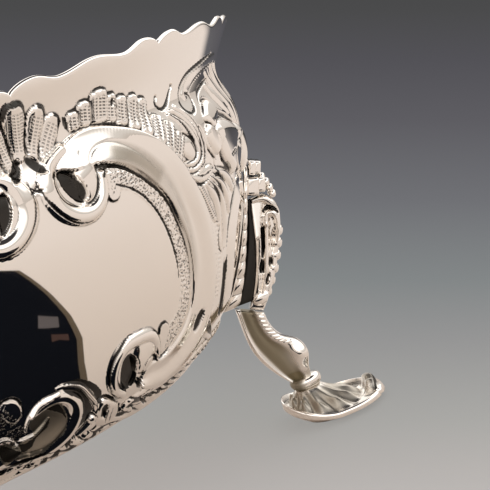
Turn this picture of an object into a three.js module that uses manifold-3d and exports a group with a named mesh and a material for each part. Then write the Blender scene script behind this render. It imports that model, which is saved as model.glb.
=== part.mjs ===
// Silver bowl with a scalloped rim, standing on three cast scroll legs with shell feet.
// Millimetres, +Z up, the table at z = 0, one chased panel facing -Y, one leg at the back (+Y).
import * as THREE from 'three';
import { mergeVertices } from 'three/addons/utils/BufferGeometryUtils.js';
import Module from 'manifold-3d';

const wasm = await Module();
wasm.setup();

// Overall sizes
const bellyRadius = 60.9;      // outside of the wall at its widest, under the neck
const bowlDepth = 57.5;        // underside of the bowl up to the rim's cusps
const legHeight = 23.4;        // table to the back of a leg's top, which slopes down to its front
const legOverlap = 10.9;       // how far the leg's top stands above the bowl's underside
const sheet = 0.9;             // thickness of the raised silver
const seatGap = 0.3;           // solder gap between two pieces
const legNames = ['back', 'front_left', 'front_right'];   // from +Y on, evenly round the bowl

// Wall outline: how far each station lies inside the belly, and its share of the way up to the belly
const soleInset = 44.9;
const soleRise = 0.02;
const bilgeInset = 22.9;
const bilgeRise = 0.148;
const turnInset = 13.9;
const turnRise = 0.262;
const hipInset = 7.8;
const hipRise = 0.455;
const flankInset = 2.9;
const flankRise = 0.715;

// Neck and rim: depths below the cusps, and how far the lip flares past the belly
const bellyDrop = 12.9;
const neckInset = 0.6;
const neckDrop = 6.7;
const lipFlare = 3.7;
const edgeSlope = 0.45;        // outward run of the lip's edge for each millimetre that it rises

// Scalloped edge: each motif is a narrow lobe, a wide lobe and a narrow lobe between two sharp cusps
const motifCount = 15;
const narrowRise = 1.25;
const wideRise = 1.05;
const dipRise = 0.1;
const cuspDrop = 0.15;
const narrowPeak = 0.13;       // share of a motif at the crest of its narrow lobe
const dipPlace = 0.28;         // share of a motif at the dip between two lobes
const cuspSharpness = 0.6;
const motifStations = [0, 0.03, 0.08, 0.17, 0.28, 0.39, 0.5, 0.61, 0.72, 0.83, 0.92, 0.97];
const wallRows = [0.13, 0.26, 0.37, 0.45, 0.52, 0.59, 0.67, 0.77, 0.88];  // shares of the wall up to the neck
const lipRows = [0.35, 0.7, 1];                                           // shares of the lip above it

// Knee: a backing with a lumpy edge against the wall, and a pierced scroll in front of it
const kneeHeight = 24;
const backingThinnest = 1.2;
const backingThickest = 4.2;
const backingHalfWidth = 5.2;
const backingTaper = 0.62;     // width at each end, as a share of the fullest
const backingLumps = 8;
const lumpDepth = 0.45;
const rowsPerLump = 4;
const scrollWidth = 5;
const blockBevel = 0.5;
const scrollProud = 5.2;       // how far the scroll stands out from the backing at its fullest
const kneeVoid = 1;            // width of the open space between scroll and backing
const capWidth = 7.6;
const capProud = 1.7;
const shoulderWidth = 9.4;
const shoulderProud = 2.7;
const rollRadius = 1.4;
const beadRadius = 1.4;
const beadSmallest = 0.85;     // the lowest bead, as a share of the first
const beadCount = 4;
const legSeatGap = 0.4;        // upright gap over the leg's sloping top

// Leg: an S-curve whose front carries a curl, with a ridge along each edge of its flat sides
const legWidthTop = 4.8;
const legWidthNeck = 3.4;
const curlWidth = 4.6;
const curlReach = 9.9;         // how far the curl stands out from the back of the leg's top
const curlPlace = 0.72;        // share of the leg's length at the middle of the curl
const curlSpread = 0.12;
const sideRecess = 0.35;
const legStations = 16;
const collarRadius = 2.9;
const collarHeight = 1.7;
const rootRise = 3.2;          // the leg's back lies under the wall where it is this much higher

// Shell foot
const collarOut = 7;           // centre of the collar, out from the back of the leg's top
const footThickness = 5.6;     // table to the seat of the collar
const shellLength = 17.8;
const shellWidth = 19.2;
const shellHeel = 4.6;         // collar's centre back to the heel
const shellEdge = 1.3;
const shellRibs = 11;
const pointsPerRib = 4;
const ribHeight = 0.7;
const edgeWave = 0.02;         // how far the ribs notch the edge, as a share of its size
const rimPlace = 0.86;         // where the ribs end and the rim band starts, from seat to edge
const heelLift = 2.2;

const silver = { color: 0xd9d2cb, metalness: 1, roughness: 0.16 };
const castSilver = { color: 0xd3cbc2, metalness: 1, roughness: 0.24 };

const underside = legHeight - legOverlap;
const cuspPlane = underside + bowlDepth;

const lerp = THREE.MathUtils.lerp;

function smoothCurve(points) {
  const flat = points.map(([out, up]) => new THREE.Vector3(out, 0, up));
  return new THREE.CatmullRomCurve3(flat, false, 'centripetal');
}

// Outside of the wall, from the centre of the underside to the top of the highest lobe
const lipTop = cuspPlane + narrowRise;
const wallLevel = (share) => lerp(underside, cuspPlane - bellyDrop, share);
const wallCurve = smoothCurve([
  [0, underside],
  [bellyRadius - soleInset, wallLevel(soleRise)],
  [bellyRadius - bilgeInset, wallLevel(bilgeRise)],
  [bellyRadius - turnInset, wallLevel(turnRise)],
  [bellyRadius - hipInset, wallLevel(hipRise)],
  [bellyRadius - flankInset, wallLevel(flankRise)],
  [bellyRadius, cuspPlane - bellyDrop],
  [bellyRadius - neckInset, cuspPlane - neckDrop],
  [bellyRadius + lipFlare, cuspPlane],
  [bellyRadius + lipFlare + narrowRise * edgeSlope, lipTop],
]);
const wallSampleCount = 400;
const wallSamples = wallCurve.getSpacedPoints(wallSampleCount);

function wallPlaceAt(height) {
  let above = wallSamples.findIndex((p) => p.z >= height);
  if (above < 1) above = above === 0 ? 1 : wallSamples.length - 1;
  const [a, b] = [wallSamples[above - 1], wallSamples[above]];
  const share = (height - a.z) / (b.z - a.z);
  const normal = new THREE.Vector3(b.z - a.z, 0, a.x - b.x).normalize();
  return { radius: lerp(a.x, b.x, share), normal };
}

const wallRadiusAt = (height) => wallPlaceAt(height).radius;

// Height of the cut edge over the cusps' plane, at a share of one motif
function lobeHeight(share) {
  const f = share <= 0.5 ? share : 1 - share;
  if (f < narrowPeak) {
    return lerp(-cuspDrop, narrowRise, Math.sin(0.5 * Math.PI * f / narrowPeak) ** cuspSharpness);
  }
  const [from, to, start, end] = f < dipPlace
    ? [narrowRise, dipRise, narrowPeak, dipPlace]
    : [dipRise, wideRise, dipPlace, 0.5];
  return lerp(from, to, 0.5 - 0.5 * Math.cos(Math.PI * (f - start) / (end - start)));
}

// A closed mesh from vertices and triangles, turned so that its faces point out
function closedMesh(vertices, triangles) {
  const geometry = new THREE.BufferGeometry();
  const numbers = vertices.flatMap((v) => v.toArray());
  geometry.setAttribute('position', new THREE.Float32BufferAttribute(numbers, 3));
  let volume = 0;
  for (const [a, b, c] of triangles) volume += vertices[a].dot(vertices[b].clone().cross(vertices[c]));
  const turned = volume < 0 ? triangles.map(([a, b, c]) => [a, c, b]) : triangles;
  geometry.setIndex(turned.flat());
  return geometry;
}

// Rings of points joined into one closed body; a ring may have half as many points as the one beside it
function closedLoft(rings) {
  const vertices = [];
  const triangles = [];
  const starts = rings.map((ring) => {
    const start = vertices.length;
    vertices.push(...ring);
    return start;
  });
  for (let k = 1; k < rings.length; k += 1) {
    const outer = rings[k - 1].length >= rings[k].length;
    const [fine, coarse] = outer ? [k - 1, k] : [k, k - 1];
    const [n, m] = [rings[fine].length, rings[coarse].length];
    const step = n / m;
    const add = (a, b, c) => triangles.push(outer ? [a, b, c] : [a, c, b]);
    for (let i = 0; i < m; i += 1) {
      const [c0, c1] = [starts[coarse] + i, starts[coarse] + (i + 1) % m];
      const f = (j) => starts[fine] + (i * step + j) % n;
      add(f(0), f(1), c0);
      add(f(1), c1, c0);
      if (step === 2) add(f(1), f(2), c1);
    }
  }
  for (const [ringIndex, turn] of [[0, 1], [rings.length - 1, -1]]) {
    const ring = rings[ringIndex];
    const centre = vertices.length;
    vertices.push(ring.reduce((sum, p) => sum.add(p), new THREE.Vector3()).divideScalar(ring.length));
    for (let i = 0; i < ring.length; i += 1) {
      const [a, b] = [starts[ringIndex] + i, starts[ringIndex] + (i + 1) % ring.length];
      triangles.push(turn > 0 ? [b, a, centre] : [a, b, centre]);
    }
  }
  return closedMesh(vertices, triangles);
}

function toSolid(geometry) {
  const bare = geometry.clone();
  bare.deleteAttribute('normal');
  bare.deleteAttribute('uv');
  const merged = mergeVertices(bare, 1e-4);
  return new wasm.Manifold(new wasm.Mesh({
    numProp: 3,
    vertProperties: new Float32Array(merged.attributes.position.array),
    triVerts: new Uint32Array(merged.index.array),
  }));
}

function fromSolid(solid) {
  const { vertProperties, triVerts, numProp } = solid.getMesh();
  const positions = [];
  for (let i = 0; i < vertProperties.length; i += numProp) positions.push(...vertProperties.slice(i, i + 3));
  const geometry = new THREE.BufferGeometry();
  geometry.setAttribute('position', new THREE.Float32BufferAttribute(positions, 3));
  geometry.setIndex(Array.from(triVerts));
  return geometry;
}

// The bowl: a sheet of even thickness, outside and inside, with the scalloped edge between them
function bowlBody() {
  const neckHeight = cuspPlane - neckDrop;
  const neckShare = wallSamples.findIndex((p) => p.z >= neckHeight) / wallSampleCount;
  const columns = [];
  for (let motif = 0; motif < motifCount; motif += 1) {
    for (const share of motifStations) columns.push({ turn: (motif + share) / motifCount, share });
  }
  const coarse = columns.filter((_, i) => i % 2 === 0);

  // One ring of the sheet, at a height over each column and a depth into the wall
  const ringAt = (stations, depth, heightOver) => stations.map((station) => {
    const height = heightOver(station);
    const { radius, normal } = wallPlaceAt(height);
    const angle = 2 * Math.PI * station.turn - 0.5 * Math.PI;
    const out = radius - depth * normal.x;
    return new THREE.Vector3(out * Math.cos(angle), out * Math.sin(angle), height - depth * normal.z);
  });
  const skin = (depth) => [
    ...wallRows.map((share) => {
      const { z } = wallCurve.getPointAt(share * neckShare);
      return ringAt(coarse, depth, () => z);
    }),
    ringAt(coarse, depth, () => neckHeight),
    ...lipRows.map((share) => (
      ringAt(columns, depth, (station) => lerp(neckHeight, cuspPlane + lobeHeight(station.share), share))
    )),
  ];
  return closedLoft([...skin(0), ...skin(sheet).reverse()]);
}

// Outlines of the leg, from its top: shares of the curl's reach, and of the height from the collar to the top
const legBack = [[0, 1], [0, 0.72], [0.05, 0.477], [0.19, 0.285], [0.36, 0.136], [0.52, 0.01]];
const legFront = [[0.465, 0.86], [0.485, 0.72], [0.56, 0.591], [0.67, 0.508], [0.82, 0.466], [0.95, 0.393],
  [1, 0.292], [0.93, 0.178], [0.88, 0.016]];
const ankleHeight = footThickness + seatGap + collarHeight / 2;

const legLevel = (share) => lerp(ankleHeight, legHeight, share);

const legRoot = wallRadiusAt(legHeight + rootRise);
const collarCentre = legRoot + collarOut;
const legTopDepth = legFront[0][0] * curlReach;
const legFrontTop = legLevel(legFront[0][1]);

// The backing follows the wall's curve and thickens downwards; its two sides are a row of lumps
const kneeBottom = legHeight + 2 * seatGap;
const kneeTop = legHeight + kneeHeight;
const backingTop = kneeTop - 2 * seatGap;

function backingThicknessAt(height) {
  const share = Math.min(1, Math.max(0, (kneeTop - height) / (kneeTop - kneeBottom)));
  return lerp(backingThinnest, backingThickest, share ** 3);
}

function kneeBacking() {
  const rows = rowsPerLump * backingLumps;
  const columns = [-1, -0.4, 0.4, 1];
  const rings = [];
  for (let row = 0; row <= rows; row += 1) {
    const share = row / rows;
    const height = lerp(backingTop, kneeBottom, share);
    const taper = Math.min(1, backingTaper + 2.2 * share) * lerp(1, backingTaper, share ** 2);
    const lump = lumpDepth * Math.abs(Math.sin(Math.PI * backingLumps * share));
    const halfWidth = backingHalfWidth * taper + lump;
    const back = wallRadiusAt(height) + seatGap;
    const front = back + backingThicknessAt(height);
    const point = (across, out) => {
      const y = across * halfWidth;
      return new THREE.Vector3(Math.sqrt(out ** 2 - y ** 2), y, height);
    };
    const edge = lerp(back, front, 0.55);
    rings.push([
      ...columns.map((across) => point(across, back)),
      point(1.03, edge),
      ...columns.map((across) => point(-0.9 * across, front)),
      point(-1.03, edge),
    ]);
  }
  return closedLoft(rings);
}

// A place on the knee scroll's side outline: a share of the knee's height, and how far out from the backing
function kneePlace(share, out) {
  const height = lerp(kneeBottom, kneeTop, share);
  return new THREE.Vector2(wallRadiusAt(height) + backingThicknessAt(height) + 2 * seatGap + out, height);
}

// A side outline carried straight across the leg, with its edges rounded over
function acrossLeg(shape, width, bevel, curveSegments = 4) {
  const geometry = new THREE.ExtrudeGeometry(shape, {
    depth: width - 2 * bevel, steps: 1, curveSegments, bevelEnabled: bevel > 0, bevelSegments: 2,
    bevelSize: bevel, bevelOffset: -bevel, bevelThickness: bevel,
  });
  geometry.translate(0, 0, bevel - width / 2);
  geometry.rotateX(0.5 * Math.PI);
  return toSolid(geometry);
}

function shapeThrough(corners) {
  return new THREE.Shape(corners.map(([share, out]) => kneePlace(share, out)));
}

function kneeScroll() {
  // The hooked band: front edge downwards, sloping foot, open space behind, seat at the top
  const front = [[0.79, 0.62], [0.7, 0.84], [0.6, 0.98], [0.45, 1], [0.3, 1], [0.16, 0.96], [0.04, 0.72]];
  const inner = [[0.05, 0.8], [0.12, 1], [0.3, 1], [0.5, 1], [0.66, 0.5]];
  const slot = [[0.42, 2.7], [0.27, 2.6], [0.3, 3.2], [0.42, 3.3], [0.53, 3.5], [0.56, 2.9]];
  const seat = kneePlace(0, 0);
  const seatShare = (seat.x - legRoot) / legTopDepth;
  const outline = new THREE.Shape();
  outline.moveTo(...kneePlace(0.84, 0));
  outline.lineTo(...kneePlace(0.84, 0.5 * scrollProud));
  outline.splineThru(front.map(([share, out]) => kneePlace(share, out * scrollProud)));
  outline.lineTo(legRoot + legTopDepth, legFrontTop + legSeatGap);
  outline.lineTo(seat.x, lerp(legHeight, legFrontTop, seatShare) + legSeatGap);
  outline.splineThru(inner.map(([share, out]) => kneePlace(share, out * kneeVoid)));
  outline.lineTo(...kneePlace(0.7, 0));
  outline.closePath();
  outline.holes.push(new THREE.Path(slot.map(([share, out]) => kneePlace(share, out))));

  // The stepped blocks over it: a cap against the wall, a shoulder, and a roll along the shoulder's front
  const cap = [[0.82, 0], [0.82, capProud - 0.3], [0.9, capProud], [1, capProud - 0.3], [1, 0]];
  const shoulder = [[0.72, 0], [0.72, shoulderProud], [0.86, shoulderProud], [0.88, 0]];
  const roll = new THREE.Shape();
  roll.absarc(...kneePlace(0.78, shoulderProud), rollRadius, 0, 2 * Math.PI);

  let solid = acrossLeg(outline, scrollWidth, 0);
  solid = solid.add(acrossLeg(shapeThrough(cap), capWidth, blockBevel));
  solid = solid.add(acrossLeg(shapeThrough(shoulder), shoulderWidth, blockBevel));
  solid = solid.add(acrossLeg(roll, shoulderWidth - rollRadius, blockBevel, 5));

  // Graduated beads down the front
  for (let i = 0; i < beadCount; i += 1) {
    const down = i / (beadCount - 1);
    const radius = beadRadius * lerp(1, beadSmallest, down);
    const bead = new THREE.SphereGeometry(radius, 8, 6);
    bead.rotateX(0.5 * Math.PI);
    const proud = scrollProud * lerp(1, 0.86, down ** 2) - 0.45 * radius;
    const centre = kneePlace(lerp(0.45, 0.1, down), proud);
    bead.translate(centre.x, 0, centre.y);
    solid = solid.add(toSolid(bead));
  }
  return fromSolid(solid);
}

// The leg: a ridged section carried between its two outlines, standing in a round collar
function legPart() {
  const [back, front] = [legBack, legFront].map((outline) => (
    smoothCurve(outline.map(([out, up]) => [legRoot + out * curlReach, legLevel(up)]))
  ));
  const section = [[-1, 0.45], [-0.9, 1], [-0.7, 1], [-0.62, 1 - sideRecess], [0.4, 1 - sideRecess],
    [0.52, 1.08], [0.8, 1.08], [1, 0.5]];
  const rings = [];
  for (let i = 0; i <= legStations; i += 1) {
    const share = i / legStations;
    const [b, f] = [back.getPointAt(share), front.getPointAt(share)];
    const centre = b.clone().lerp(f, 0.5);
    const half = f.clone().sub(b).multiplyScalar(0.5);
    const swell = Math.exp(-(((share - curlPlace) / curlSpread) ** 2));
    const halfWidth = 0.5 * lerp(lerp(legWidthTop, legWidthNeck, share), curlWidth, swell);
    const side = (sign) => section.map(([depth, width]) => (
      centre.clone().addScaledVector(half, depth).add(new THREE.Vector3(0, sign * width * halfWidth, 0))
    ));
    rings.push([...side(1), ...side(-1).reverse()]);
  }
  return fromSolid(toSolid(closedLoft(rings)).add(collarSolid()));
}

// The collar: a round bead turned about an upright line through its centre
function collarSolid() {
  const round = collarHeight / 2;
  const bulge = [-60, -30, 0, 30, 60].map((angle) => {
    const a = THREE.MathUtils.degToRad(angle);
    return new THREE.Vector2(collarRadius - round + round * Math.cos(a), round * Math.sin(a));
  });
  const [low, high] = [bulge[0].y, bulge[bulge.length - 1].y];
  const profile = [new THREE.Vector2(0, low), ...bulge, new THREE.Vector2(0, high)];
  const collar = new THREE.LatheGeometry(profile, 18);
  collar.rotateX(0.5 * Math.PI);
  collar.translate(collarCentre, 0, footThickness + seatGap - low);
  return toSolid(collar);
}

// The foot: a flat-bottomed shell whose ribs fan out from a seat under the collar to a rim band
function shellFoot() {
  const points = pointsPerRib * shellRibs;
  const middle = collarCentre - shellHeel + shellLength / 2;
  const seatRadius = collarRadius - 0.5;

  // One ring between the seat (spread 0) and the edge (spread 1), at a height over the table
  const ring = (spread, heightOf) => Array.from({ length: points }, (_, i) => {
    const angle = 2 * Math.PI * i / points;
    const [c, s] = [Math.cos(angle), Math.sin(angle)];
    const rib = Math.cos(shellRibs * angle);
    const fan = 1 + edgeWave * rib;
    const x = lerp(collarCentre + seatRadius * c, middle + 0.5 * shellLength * c * fan, spread);
    const y = lerp(seatRadius * s, 0.5 * shellWidth * s * fan, spread);
    const heel = heelLift * Math.max(0, -c) ** 2;
    return new THREE.Vector3(x, y, heightOf(heel, rib));
  });
  const ribbed = (spread) => ring(spread, (heel, rib) => {
    const share = spread / rimPlace;
    const fall = (footThickness - shellEdge - heel) * (1 - share) ** 1.35;
    return shellEdge + heel + fall + ribHeight * rib * Math.sin(Math.PI * share) ** 0.8;
  });
  return closedLoft([
    ring(0, () => footThickness),
    ...[0.14, 0.34, 0.56, 0.76].map(ribbed),
    ring(0.87, (heel) => heel + shellEdge - 0.25),
    ring(0.93, (heel) => heel + shellEdge + 0.35),
    ring(1, (heel) => heel + shellEdge - 0.1),
    ring(0.98, (heel) => heel * 0.9),
    ring(0.8, (heel) => heel * 0.15),
    ring(0.7, () => 0),
  ]);
}

const footReach = collarCentre - shellHeel + shellLength * (1 + edgeWave / 2);
const lipReach = bellyRadius + lipFlare;

const bowl = new THREE.Group();
bowl.position.y = -0.5 * Math.max(0, footReach - lipReach);   // centres the box of the bowl and its back foot

function addPiece(parent, name, geometry, look) {
  const mesh = new THREE.Mesh(geometry, new THREE.MeshStandardMaterial(look));
  mesh.name = name;
  parent.add(mesh);
}

addPiece(bowl, 'bowl_body', bowlBody(), silver);

legNames.forEach((side, i) => {
  const leg = new THREE.Group();
  leg.rotation.z = 2 * Math.PI * (0.25 + i / legNames.length);
  addPiece(leg, `knee_backing_${side}`, kneeBacking(), castSilver);
  addPiece(leg, `knee_scroll_${side}`, kneeScroll(), castSilver);
  addPiece(leg, `leg_${side}`, legPart(), castSilver);
  addPiece(leg, `shell_foot_${side}`, shellFoot(), castSilver);
  bowl.add(leg);
});

export default bowl;
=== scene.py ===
import math
import bpy
import numpy as np
from mathutils import Matrix, Vector


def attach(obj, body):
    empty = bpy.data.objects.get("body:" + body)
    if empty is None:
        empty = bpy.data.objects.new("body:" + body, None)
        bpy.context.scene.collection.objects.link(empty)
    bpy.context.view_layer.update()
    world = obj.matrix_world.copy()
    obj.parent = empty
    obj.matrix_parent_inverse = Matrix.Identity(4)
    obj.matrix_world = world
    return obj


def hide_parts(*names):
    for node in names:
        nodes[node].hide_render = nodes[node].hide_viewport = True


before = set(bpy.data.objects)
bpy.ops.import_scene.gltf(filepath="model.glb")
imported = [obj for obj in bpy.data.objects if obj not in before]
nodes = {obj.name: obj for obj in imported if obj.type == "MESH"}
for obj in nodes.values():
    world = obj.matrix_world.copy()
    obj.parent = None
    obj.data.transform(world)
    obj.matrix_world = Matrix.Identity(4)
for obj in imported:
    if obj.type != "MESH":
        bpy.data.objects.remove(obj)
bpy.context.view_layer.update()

mm = 0.001


def nodePoints(name):
    # All corners of a CAD node, in millimetres
    mesh = nodes[name].data
    flat = np.empty(len(mesh.vertices) * 3)
    mesh.vertices.foreach_get("co", flat)
    return flat.reshape(-1, 3) / mm


bodyPoints = nodePoints("bowl_body")
soleRing = bodyPoints[bodyPoints[:, 2] < bodyPoints[:, 2].min() + 0.01]
axisY = 0.5 * (soleRing[:, 1].min() + soleRing[:, 1].max())   # the underside is a ring round the bowl's axis
print("frame loaded, the bowl's axis stands at y", round(axisY, 2), "mm")


# Camera: where the photograph was taken from, measured from the bowl's axis and the table

cameraSpec = {
    "distance": 220.0,        # mm from the bowl's axis
    "azimuth": -107.2,        # degrees, as are yaw, pitch and roll
    "height": 66.75,          # mm over the table
    "yaw": 14.42,
    "pitch": -8.86,
    "roll": -20.15,
    "focalPixels": 1251.8,
    "framePixels": 490,
    "sensor": 36,             # mm
    "clip": (0.005, 400),     # metres
}


def cameraAxes(spec):
    # Level view towards the axis, then turned to the right by yaw, tipped by pitch, and rolled about the
    # view line
    az, yaw, pitch, roll = (math.radians(spec[k]) for k in ("azimuth", "yaw", "pitch", "roll"))
    place = np.array([spec["distance"] * math.cos(az),
                      spec["distance"] * math.sin(az) + axisY, spec["height"]])
    ahead = -np.array([math.cos(az), math.sin(az), 0])
    right = np.array([-math.sin(az), math.cos(az), 0])
    up = np.array([0, 0, 1.0])
    ahead, right = (ahead * math.cos(yaw) + right * math.sin(yaw),
                    right * math.cos(yaw) - ahead * math.sin(yaw))
    ahead, up = (ahead * math.cos(pitch) + up * math.sin(pitch),
                 up * math.cos(pitch) - ahead * math.sin(pitch))
    right, up = (right * math.cos(roll) + up * math.sin(roll),
                 up * math.cos(roll) - right * math.sin(roll))
    return place, right, up, ahead


cameraPlace, viewRight, viewUp, viewAhead = cameraAxes(cameraSpec)
flatAhead = viewAhead[:2] / np.linalg.norm(viewAhead[:2])     # the view's heading over the floor


def makeCamera(spec):
    # The lens is the sensor's width times the focal length in pixels over the picture's width in pixels
    data = bpy.data.cameras.new("photo_camera")
    data.sensor_width = spec["sensor"]
    data.lens = data.sensor_width * spec["focalPixels"] / spec["framePixels"]
    data.clip_start, data.clip_end = spec["clip"]
    camera = bpy.data.objects.new("photo_camera", data)
    turn = Matrix([list(row) for row in np.array([viewRight, viewUp, -viewAhead]).T]).to_4x4()
    camera.matrix_world = Matrix.Translation(Vector(cameraPlace * mm)) @ turn
    bpy.context.scene.collection.objects.link(camera)
    bpy.context.scene.camera = camera


makeCamera(cameraSpec)
print("camera set")


# Studio: a pale floor, a warm soft light all round, and a grey backdrop behind the bowl

studioSpec = {
    "floorNear": (0.785, 0.69, 0.62),       # what the silver sees of the floor, close by and further off
    "floorAway": (0.85, 0.765, 0.71),
    "floorRings": (75.0, 150.0),            # mm from the bowl's axis
    "horizon": (0.60, 0.545, 0.50),
    "lightStrong": (1.75, 1.70, 1.66),      # a wide soft light over the horizon, stronger to the left
    "lightWeak": (0.72, 0.68, 0.64),
    "ceiling": (0.045, 0.042, 0.045),
    "gradientRows": [-60, 10, 60, 120, 200, 280, 340, 420, 470, 640],      # picture rows
    # Red, green and blue of the backdrop at those rows, 0 to 255
    "gradientShades": [(68, 68, 69), (75, 75, 76), (83, 82, 87), (94, 93, 98), (112, 113, 117),
                       (132, 136, 137), (152, 152, 152), (173, 172, 169), (186, 182, 179), (208, 204, 200)],
    "elsewhere": (0.46, 0.455, 0.45),       # grey where the photo doesn't look
    "floorHalf": 100.0,                     # metres
    "floorEven": 0.7,                       # how little of the bowl's shadow shows on the floor
    "floorTurn": (150.0, 215.0),
    # mm along the view where the floor's mirror image goes from pale to grey
    # Where a blend starts and ends. The first three are of headings, and 1 is straight along the view
    "behindTurn": (0.94, 1.0),              # backdrop in the silver
    "mirrorTurn": (0.5, 0.75),              # grey floor in the silver
    "viewTurn": (0.8, 0.95),                # what the photo shows, against the grey elsewhere
    "leftTurn": (-0.5, 0.5),                # strong light, by how far to the left
    "highTurn": (0.18, 0.42),               # strong light, by the height of a direction
    "horizonTurn": (0.0, 0.17),             # also by height, as is the ceiling
    "ceilingTurn": (0.66, 0.80),
    "leastAhead": 0.2,                      # keeps the slope finite beside and behind the camera
}


def linear(shade):
    # A picture's grey value, 0 to 255, as a light strength
    c = np.asarray(shade, float) / 255
    return np.where(c <= 0.04045, c / 12.92, ((c + 0.055) / 1.055) ** 2.4)


class NodeSheet:
    # Adds shader nodes to one tree, and takes plain numbers, tuples or sockets as inputs

    def __init__(self, tree):
        self.tree = tree
        tree.nodes.clear()

    def add(self, kind, settings=None, inputs=None, out=0):
        # One node with its settings and inputs; gives back an output, or the node itself when out is None
        node = self.tree.nodes.new(kind)
        for key, value in (settings or {}).items():
            setattr(node, key, value)
        for key, value in (inputs or {}).items():
            socket = node.inputs[key]
            if isinstance(value, bpy.types.NodeSocket):
                self.tree.links.new(value, socket)
            else:
                socket.default_value = value
        return node.outputs[out] if out is not None and len(node.outputs) else node

    def math(self, operation, *values):
        # One sum on numbers
        return self.add("ShaderNodeMath", {"operation": operation}, dict(enumerate(values)))

    def vector(self, operation, *values, out=0):
        # One sum on vectors; output 1 is the number that a dot product or a length gives
        return self.add("ShaderNodeVectorMath", {"operation": operation}, dict(enumerate(values)), out)

    def smooth(self, value, low, high):
        # 0 below low, 1 above high, and an S between them
        return self.add("ShaderNodeMapRange", {"interpolation_type": "SMOOTHSTEP"},
                        {"Value": value, "From Min": low, "From Max": high})

    def mix(self, factor, a, b):
        # Colour a where the factor is 0, and b where it is 1
        return self.add("ShaderNodeMix", {"data_type": "RGBA", "clamp_factor": True},
                        {"Factor": factor, 6: a, 7: b}, 2)

    def ramp(self, factor, stops):
        # The colour at a factor, by straight lines between the stops
        node = self.add("ShaderNodeValToRGB", None, {"Fac": factor}, None)
        elements = node.color_ramp.elements
        while len(elements) < len(stops):
            elements.new(0.5)
        for element, (place, colour) in zip(elements, stops):
            element.position = place
            element.color = colour
        return node.outputs[0]


def rgba(colour):
    # Three shares of light as a socket's four, with nothing see-through
    return (float(colour[0]), float(colour[1]), float(colour[2]), 1.0)


def rowSlope(row):
    # Slope of the view ray at a picture row: height over depth
    return -(row - cameraSpec["framePixels"] / 2) / cameraSpec["focalPixels"]


def greyStops(places):
    # The backdrop's shades as stops for a ramp, in the order of their places along it
    shades = linear(studioSpec["gradientShades"])
    order = np.argsort(places)
    return [(float(places[i]), rgba(shades[i])) for i in order]


def makeWorld(spec):
    # Surroundings by direction: what the camera sees, what the silver mirrors, and plain white light for
    # the rest
    world = bpy.data.worlds.new("studio")
    bpy.context.scene.world = world
    world.use_nodes = True
    n = NodeSheet(world.node_tree)
    direction = n.vector("NORMALIZE", n.add("ShaderNodeTexCoord", out=0))
    rays = n.add("ShaderNodeLightPath", out=None).outputs
    height = n.add("ShaderNodeSeparateXYZ", None, {0: direction}, 2)

    # Backdrop: grey that lightens down the picture, by the slope of the direction against the view
    slope = n.math("DIVIDE", n.vector("DOT_PRODUCT", direction, tuple(viewUp), out=1),
                   n.math("MAXIMUM", n.vector("DOT_PRODUCT", direction, tuple(viewAhead), out=1),
                          spec["leastAhead"]))
    rows = np.array([rowSlope(r) for r in spec["gradientRows"]])
    low, high = rows.min(), rows.max()
    share = n.add("ShaderNodeMapRange", None, {"Value": slope, "From Min": float(low),
                                               "From Max": float(high)})
    backdrop = n.ramp(share, greyStops((rows - low) / (high - low)))

    # Light: warm all round the front, grey towards the backdrop, dark overhead
    towards = n.vector("DOT_PRODUCT", direction, (flatAhead[0], flatAhead[1], 0.0), out=1)
    leftward = n.vector("DOT_PRODUCT", direction, (-flatAhead[1], flatAhead[0], 0.0), out=1)
    strong = n.math("MAXIMUM", n.smooth(leftward, *spec["leftTurn"]), n.smooth(height, *spec["highTurn"]))
    light = n.mix(strong, rgba(spec["lightWeak"]), rgba(spec["lightStrong"]))
    seen = n.mix(n.smooth(height, *spec["horizonTurn"]), rgba(spec["horizon"]), light)
    seen = n.mix(n.smooth(towards, *spec["behindTurn"]), seen, backdrop)
    seen = n.mix(n.smooth(height, *spec["ceilingTurn"]), seen, rgba(spec["ceiling"]))
    facing = n.smooth(n.vector("DOT_PRODUCT", direction, tuple(viewAhead), out=1), *spec["viewTurn"])
    seen = n.mix(rays["Is Camera Ray"], seen, n.mix(facing, rgba(spec["elsewhere"]), backdrop))
    plain = n.add("ShaderNodeBackground", None, {"Color": (1, 1, 1, 1), "Strength": 1.0})
    shown = n.add("ShaderNodeBackground", None, {"Color": seen, "Strength": 1.0})
    sharp = n.math("MAXIMUM", rays["Is Camera Ray"], rays["Is Glossy Ray"])
    n.add("ShaderNodeOutputWorld", None, {0: n.add("ShaderNodeMixShader", None, {0: sharp, 1: plain,
                                                                                 2: shown})})


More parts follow.
